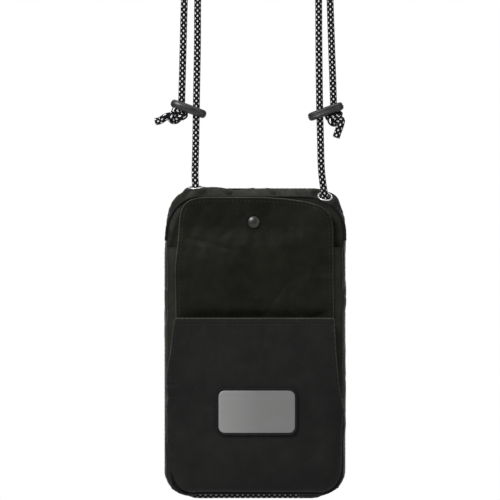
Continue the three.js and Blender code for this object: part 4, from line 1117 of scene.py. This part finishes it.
hem = done(tube("slip_hem_roll", resample(hem_path, 1.0), lambda s, a: 0.60 + 0.05 * np.sin(s * 1.9) + 0 * a, M_EDGE, sides=12, uv_scale=(4.6, 1)), "trim_fabric")
for j_, tag in ((0, "left"), (-1, "right")):
    sp = np.array([P2[i, j_] for i in range(nv2) if Z2[i, j_] > 53.5])
    done(tube(f"slip_edge_{tag}", resample(sp, 0.9), lambda s, a: 0.58 + 0.06 * np.sin(s * 1.7) + 0 * a, M_EDGE, sides=10, uv_scale=(4, 1)), "trim_fabric")
fy_slip = mesh_y(P2)
rows = [[[x, 112.2] for x in np.linspace(-49, 48.6, 120)]]
rows += [[[s_ * (float(slip_half(z, s_)) - 1.7), z] for z in np.linspace(70, 111.5, 50)] for s_ in (-1, 1)]
for k, r_ in enumerate(rows):
    row, nrm = surface_row(r_, fy_slip, 0.57)
    nrm = np.tile([0, -1.0, 0], (len(row), 1))
    done(stitches(f"slip_stitches_{k}", row, nrm, M_THREAD, 2.6, 1.8, 0.19, 0.02), "trim_fabric")


# folded side walls
def wall(name, s, zs, rail, mat, node, seed):
    rows_ = []
    for z in zs:
        pts = resample(spline([[x, y, z] for x, y in rail(z, s)], 8), 1)
        pts = np.array([[np.interp(k, np.linspace(0, 1, len(pts)), pts[:, c]) for c in range(3)] for k in np.linspace(0, 1, 22)])
        pts[:, 0] *= s
        rows_.append(pts)
    P_ = np.array(rows_)
    N_ = grid_normals(P_)
    if (N_[..., 0] * s).sum() < 0:
        N_ = -N_
    w = np.sin(np.linspace(0, np.pi, 22))[None, :]
    A_, B_ = np.meshgrid(np.linspace(0, 9, 22), zs)
    d_ = w * (fbm(A_ / 5, B_ / 13, seed, 3) * 0.55 - 0.4 * ridge(B_ / 9 + 0.4 * vnoise(A_ / 3, B_ / 8, seed), A_ / 20, seed + 1, 5))
    P_ = P_ + N_ * np.clip(d_, -0.7, 0.35)[..., None]
    return done(sheet(name, P_, 0.75, np.stack([A_, B_], 2), mat, towards=(s, 0, 0)), "shell_fabric", "pouch", node), P_


def pocket_rail(z, s):
    hw = float(front_half(z, s))
    y0 = -2.4
    y1 = min(float(front_y(hw - 0.5, z)) + 1.2, y0 - 0.6)
    d = y0 - y1
    c = 0.0 if z > 17.6 else 13.0 - math.sqrt(169.0 - (17.6 - z) ** 2)
    return [[54.6 - c, y0], [55.7 - c, y0 - 0.25 * d], [55.3 - c, y0 - 0.6 * d], [min(hw + 1.4, 54.9 - c), y0 - 0.92 * d], [min(hw - 1.2, 53.4 - c), y1]]


def slip_rail(z, s):
    hw, fw = float(slip_half(z, s)), float(front_half(z, s))
    y0 = float(front_y(fw - 0.5, z)) - 0.6
    y1 = min(float(slip_y(hw - 0.5, z)) + 0.9, y0 - 0.6)
    d = y0 - y1
    return [[fw - 2.6, y0], [fw * 0.8 + hw * 0.2 - 0.4, y0 - 0.2 * d], [(fw + hw) / 2 - 0.1, y0 - 0.55 * d], [hw - 0.6, y0 - 0.85 * d], [hw - 1.6, y1]]


for tag, s_ in (("left", -1), ("right", 1)):
    w1, Pw = wall(f"pocket_side_{tag}", s_, np.linspace(8.5, 160.5, 112), pocket_rail, M_SIDE, f"pocket_gusset_{tag}", 200 + s_)
    w2, _ = wall(f"slip_side_{tag}", s_, np.linspace(36, 112.5, 64), slip_rail, M_BODY, f"slip_gusset_{tag}", 220 + s_)
    done(tube(f"pocket_side_hem_{tag}", resample(Pw[-1], 0.8), 0.5, M_BODY, sides=10, uv_scale=(4, 1)), "trim_fabric")

# ------------------------------------------------------------------ piping
def xz_path(p, y):
    return np.stack([p[:, 0], np.full(len(p), float(y)), p[:, 1]], 1)


def pipe(name, path, mat, node, r=0.88, closed=False):
    path = resample(path, 1.0)
    f = lambda s, a: r + 0.06 * np.sin(s * 2.1 + a * 2) - 0.05 * (np.sin(s * 0.61) > 0.93)
    return done(tube(name, path, f, mat, sides=12, uv_scale=(5.6, 1)), "trim_fabric", "pouch", node)


bo = loop(grown(BACK, 0.65), 1.2)
bo = np.concatenate([bo, bo[:1]])
pipe("back_piping", xz_path(bo, 12.6), M_TRIM, "back_seam_piping")
to = loop(grown(FRONT, 1.1), 1.2)
k0 = [q for q in to if q[1] > 164.5]
k0 = [[q[0], q[1] - 2.0 * math.exp(-(((q[0] - 43.5) / 6.0) ** 2))] for q in k0]
right_half = [q for q in k0 if q[0] >= 0]
left_half = [q for q in k0 if q[0] < 0]
pipe("top_piping", xz_path(np.array(left_half + right_half), -1.9), M_TRIM, "top_seam_piping")
bpts = [[-(float(slip_half0(z)) + 1.4), z] for z in (58, 50, 42, 34, 27, 21)]
hw_, r_, zc = 55.9, 15.2, 18.9
arcs = lambda s, L_: [[s * (hw_ - r_ + r_ * math.sin(math.radians(a))), zc - r_ * math.cos(math.radians(a))] for a in L_]
bpts += arcs(-1, [82, 66, 50, 34, 18]) + [[x, 3.7 + 0.5 * float(1 - smooth(37, 45, abs(x)))] for x in (-40, -34, -20, 0, 20, 34, 40)] + arcs(1, [18, 34, 50, 66, 82]) + [[float(slip_half0(z)) + 1.4, z] for z in (21, 27, 34, 42, 50, 58)]
bpts = [[x + 2.6 * float(smooth(44, 55, -x) * smooth(7, 16, z)) - 0.7 * float(smooth(44, 55, x) * smooth(7, 16, z)), z] for x, z in bpts]
pipe("bottom_piping", spline([[x, -3.65, z] for x, z in bpts], 6), M_TRIM, "bottom_seam_piping", 0.95)

# ------------------------------------------------------------------ hardware
SNAP = (-0.8, 177.0)
cap_prof = [[0, -2.2], [0.9, -2.2], [0.9, 0], [3.55, 0], [3.72, 0.12], [3.78, 0.36], [3.68, 0.62], [3.45, 0.86], [3.3, 0.90], [3.18, 0.98], [2.8, 1.22], [2.2, 1.45], [1.4, 1.63], [0.6, 1.7], [0, 1.71]]
done(revolve("snap_cap_dome", [SNAP[0], -8.1, SNAP[1]], [0, -1, 0], cap_prof, M_GUN, 64, 40), "gunmetal", "flap", "snap_cap")
for tag, eye in (("left", EYE_L), ("right", EYE_R)):
    prof = [[3.92, -2.3], [3.92, 0.35], [3.98, 0.62], [4.14, 0.82], [4.38, 0.9], [4.6, 0.82], [4.76, 0.6], [4.8, 0.4], [4.74, 0.3], [4.12, 0.3], [4.12, -2.3]]
    done(revolve(f"eyelet_ring_{tag}", eye["at"], eye["n"], prof, M_STEEL, 64, 40), "steel", "pouch", f"eyelet_{tag}")


def ring_plate(name, prof, mat, L, closed):
    """A rounded rectangle built from (growth, depth) steps; closed: the steps make a ring, else both ends are capped."""
    rows_ = []
    for g_, y in prof:
        rows_.append([[a, y, b] for a, b in rounded(L[0], L[1], L[2] + 2 * g_, L[3] + 2 * g_, max(0.3, L[4] + g_), 10)])
    n = len(rows_[0])
    verts = np.array([p for r in rows_ for p in r])
    faces = []
    m = len(rows_)
    for i in range(m if closed else m - 1):
        for j in range(n):
            a, b = i * n + j, i * n + (j + 1) % n
            c, d = ((i + 1) % m) * n + (j + 1) % n, ((i + 1) % m) * n + j
            faces.append((a, b, c, d))
    if not closed:
        c0, c1 = len(verts), len(verts) + 1
        verts = np.concatenate([verts, [[L[0], prof[0][1], L[1]]], [[L[0], prof[-1][1], L[1]]]])
        for j in range(n):
            faces.append((c0, (j + 1) % n, j))
            faces.append((c1, (m - 1) * n + j, (m - 1) * n + (j + 1) % n))
    return make(name, verts, outward(verts, faces), verts[:, [0, 2]], mat, 35)


L_ = (1.1, 57.0, 48.5, 26.9, 4.0)
done(ring_plate("label_surround", [(1.6, -16.4), (1.62, -17.3), (1.4, -17.6), (1.0, -17.7), (0.6, -17.66), (0.32, -17.5), (0.25, -17.3), (0.25, -16.4)], M_FRAME, L_, True), "trim_fabric", "pouch", "label_frame")
done(ring_plate("label_face_plate", [(0, -16.4), (0, -17.08), (-0.12, -17.22), (-0.35, -17.3), (-2.0, -17.3)], M_LABEL, L_, False), "label_metal", "pouch", "label_plate")

# zip: tapes and teeth; the stops, slider and puller keep their own solids
for s_, node in ((1, "upper"), (-1, "lower")):
    zz = np.linspace(0.35, 9, 10)
    xs_ = np.linspace(-46, 46, 70)
    A_, B_ = np.meshgrid(xs_, zz)
    Pt = np.stack([A_, 11.1 + 0.06 * vnoise(A_ / 5, B_ / 3, 9), 175 + s_ * B_], 2)
    done(sheet(f"zip_tape_{node}_cloth", Pt, 0.55, np.stack([A_, B_], 2), M_TRIM, towards=(0, 1, 0)), "trim_fabric", "pouch", f"zip_tape_{node}")
    vv, ff = [], []
    for x in np.arange(-41.1 + (0 if s_ > 0 else 1.5), 40.4, 3.0):
        prof = [(-0.15, 2.4), (1.35, 2.4), (1.35, 0.9), (1.2, -0.1), (1.1, -0.7), (0.1, -0.7), (0.0, -0.1), (-0.15, 0.9)]
        for inset, y in ((0.12, 11.7), (0, 11.85), (0, 12.72), (0.18, 12.9)):
            cx = 0.6
            vv += [[x + cx + (a - cx) * (1 - inset), y, 175 + s_ * (b - 0.8 * inset * np.sign(b - 0.85))] for a, b in prof]
        b0 = len(vv) - 32
        for i in range(3):
            for j in range(8):
                ff.append((b0 + i * 8 + j, b0 + i * 8 + (j + 1) % 8, b0 + (i + 1) * 8 + (j + 1) % 8, b0 + (i + 1) * 8 + j))
        ff.append(tuple(b0 + j for j in reversed(range(8))))
        ff.append(tuple(b0 + 24 + j for j in range(8)))
    done(make(f"zip_teeth_{node}_row", np.array(vv), outward(vv, ff), None, M_GUN, 40), "gunmetal", "pouch", f"zip_teeth_{node}")

# sleeves inside the sides
for tag, s_ in (("left", -1), ("right", 1)):
    zz = np.linspace(24, 158, 90)
    aa = np.linspace(0, 2 * np.pi, 28, endpoint=False)
    A_, B_ = np.meshgrid(aa, zz)
    rr = 3.25 + 0.12 * fbm(A_ * 1.2, B_ / 9, 50, 2)
    Ps = np.stack([s_ * 48.4 + rr * np.cos(A_), 6.3 + 0.85 * rr * np.sin(A_), B_], 2)
    done(sheet(f"sleeve_{tag}", Ps, 0.5, np.stack([A_ * 3, B_], 2), M_LINING, ring=True), "lining_fabric", "pouch", f"cord_sleeve_{tag}")


# seam stitching of the back panel and round the zip's slot
bs = loop(grown(BACK, -3.4), 1.4)
bs = np.concatenate([bs, bs[:1]])
done(stitches("back_stitches", xz_path(bs, 12.98), np.tile([0, 1.0, 0], (len(bs), 1)), M_THREAD, 3.0, 2.1, 0.2, 0.0), "trim_fabric")
zr = np.array(rounded(0, 175, 95, 11.6, 2.2, 6) + [rounded(0, 175, 95, 11.6, 2.2, 6)[0]])
done(stitches("zip_stitches", resample(xz_path(zr, 12.95), 1.0), np.tile([0, 1.0, 0], (2000, 1))[: len(resample(xz_path(zr, 12.95), 1.0))], M_THREAD, 2.8, 1.9, 0.19, 0.0), "trim_fabric")

# materials of the pieces that keep their own solids
for names, m in (
    (("eyelet_washer_left", "eyelet_washer_right", "snap_socket", "snap_stud", "snap_rivet", "zip_stop_left", "zip_stop_right"), M_STEEL),
    (("zip_slider", "zip_puller"), M_GUN),
):
    for n in names:
        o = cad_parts[n]
        if not o.material_slots:
            o.data.materials.append(m)
        o.material_slots[0].material = m

# ------------------------------------------------------------------ light and stage
scene = bpy.context.scene
scene.view_settings.view_transform = "Standard"
scene.view_settings.look = "None"
world = bpy.data.worlds.new("world")
scene.world = world
world.use_nodes = True
wt = world.node_tree
bg = wt.nodes["Background"]
tc = wt.nodes.new("ShaderNodeTexCoord")
sep = wt.nodes.new("ShaderNodeSeparateXYZ")
wt.links.new(tc.outputs["Generated"], sep.inputs[0])
mr = wt.nodes.new("ShaderNodeMapRange")
wt.links.new(sep.outputs[1], mr.inputs[0])
for i, v in enumerate((0.6, 0.9, 0.22, 1.0)):
    mr.inputs[i + 1].default_value = v
wt.links.new(mr.outputs[0], bg.inputs[1])
bg.inputs[0].default_value = (1, 1, 1, 1)


def area(name, at, aim, size, watts):
    d = bpy.data.lights.new(name, "AREA")
    d.shape, d.size, d.size_y, d.energy = "RECTANGLE", size[0], size[1], watts
    o = bpy.data.objects.new(name, d)
    scene.collection.objects.link(o)
    o.location = V(*at)
    o.rotation_euler = (V(*aim) - V(*at)).to_track_quat("-Z", "Y").to_euler()
    return o


area("key", (-500, -700, 800), (0, 0, 120), (0.45, 0.45), 12.6)
area("fill", (750, -600, 250), (0, 0, 120), (0.5, 0.9), 1.7)
area("top", (60, 60, 1000), (0, 0, 150), (0.8, 0.3), 4)

n = 96
floor_z = -120.0
fv = [[0, 0, floor_z]] + [[1050 * math.cos(2 * math.pi * k / n), 1050 * math.sin(2 * math.pi * k / n), floor_z] for k in range(n)]
g = Graph("floor")
g.bsdf.inputs["Base Color"].default_value = (0.72, 0.72, 0.72, 1)
g.bsdf.inputs["Roughness"].default_value = 0.9
floor = make("floor", np.array(fv), [(0, 1 + k, 1 + (k + 1) % n) for k in range(n)], None, g.m, 180)
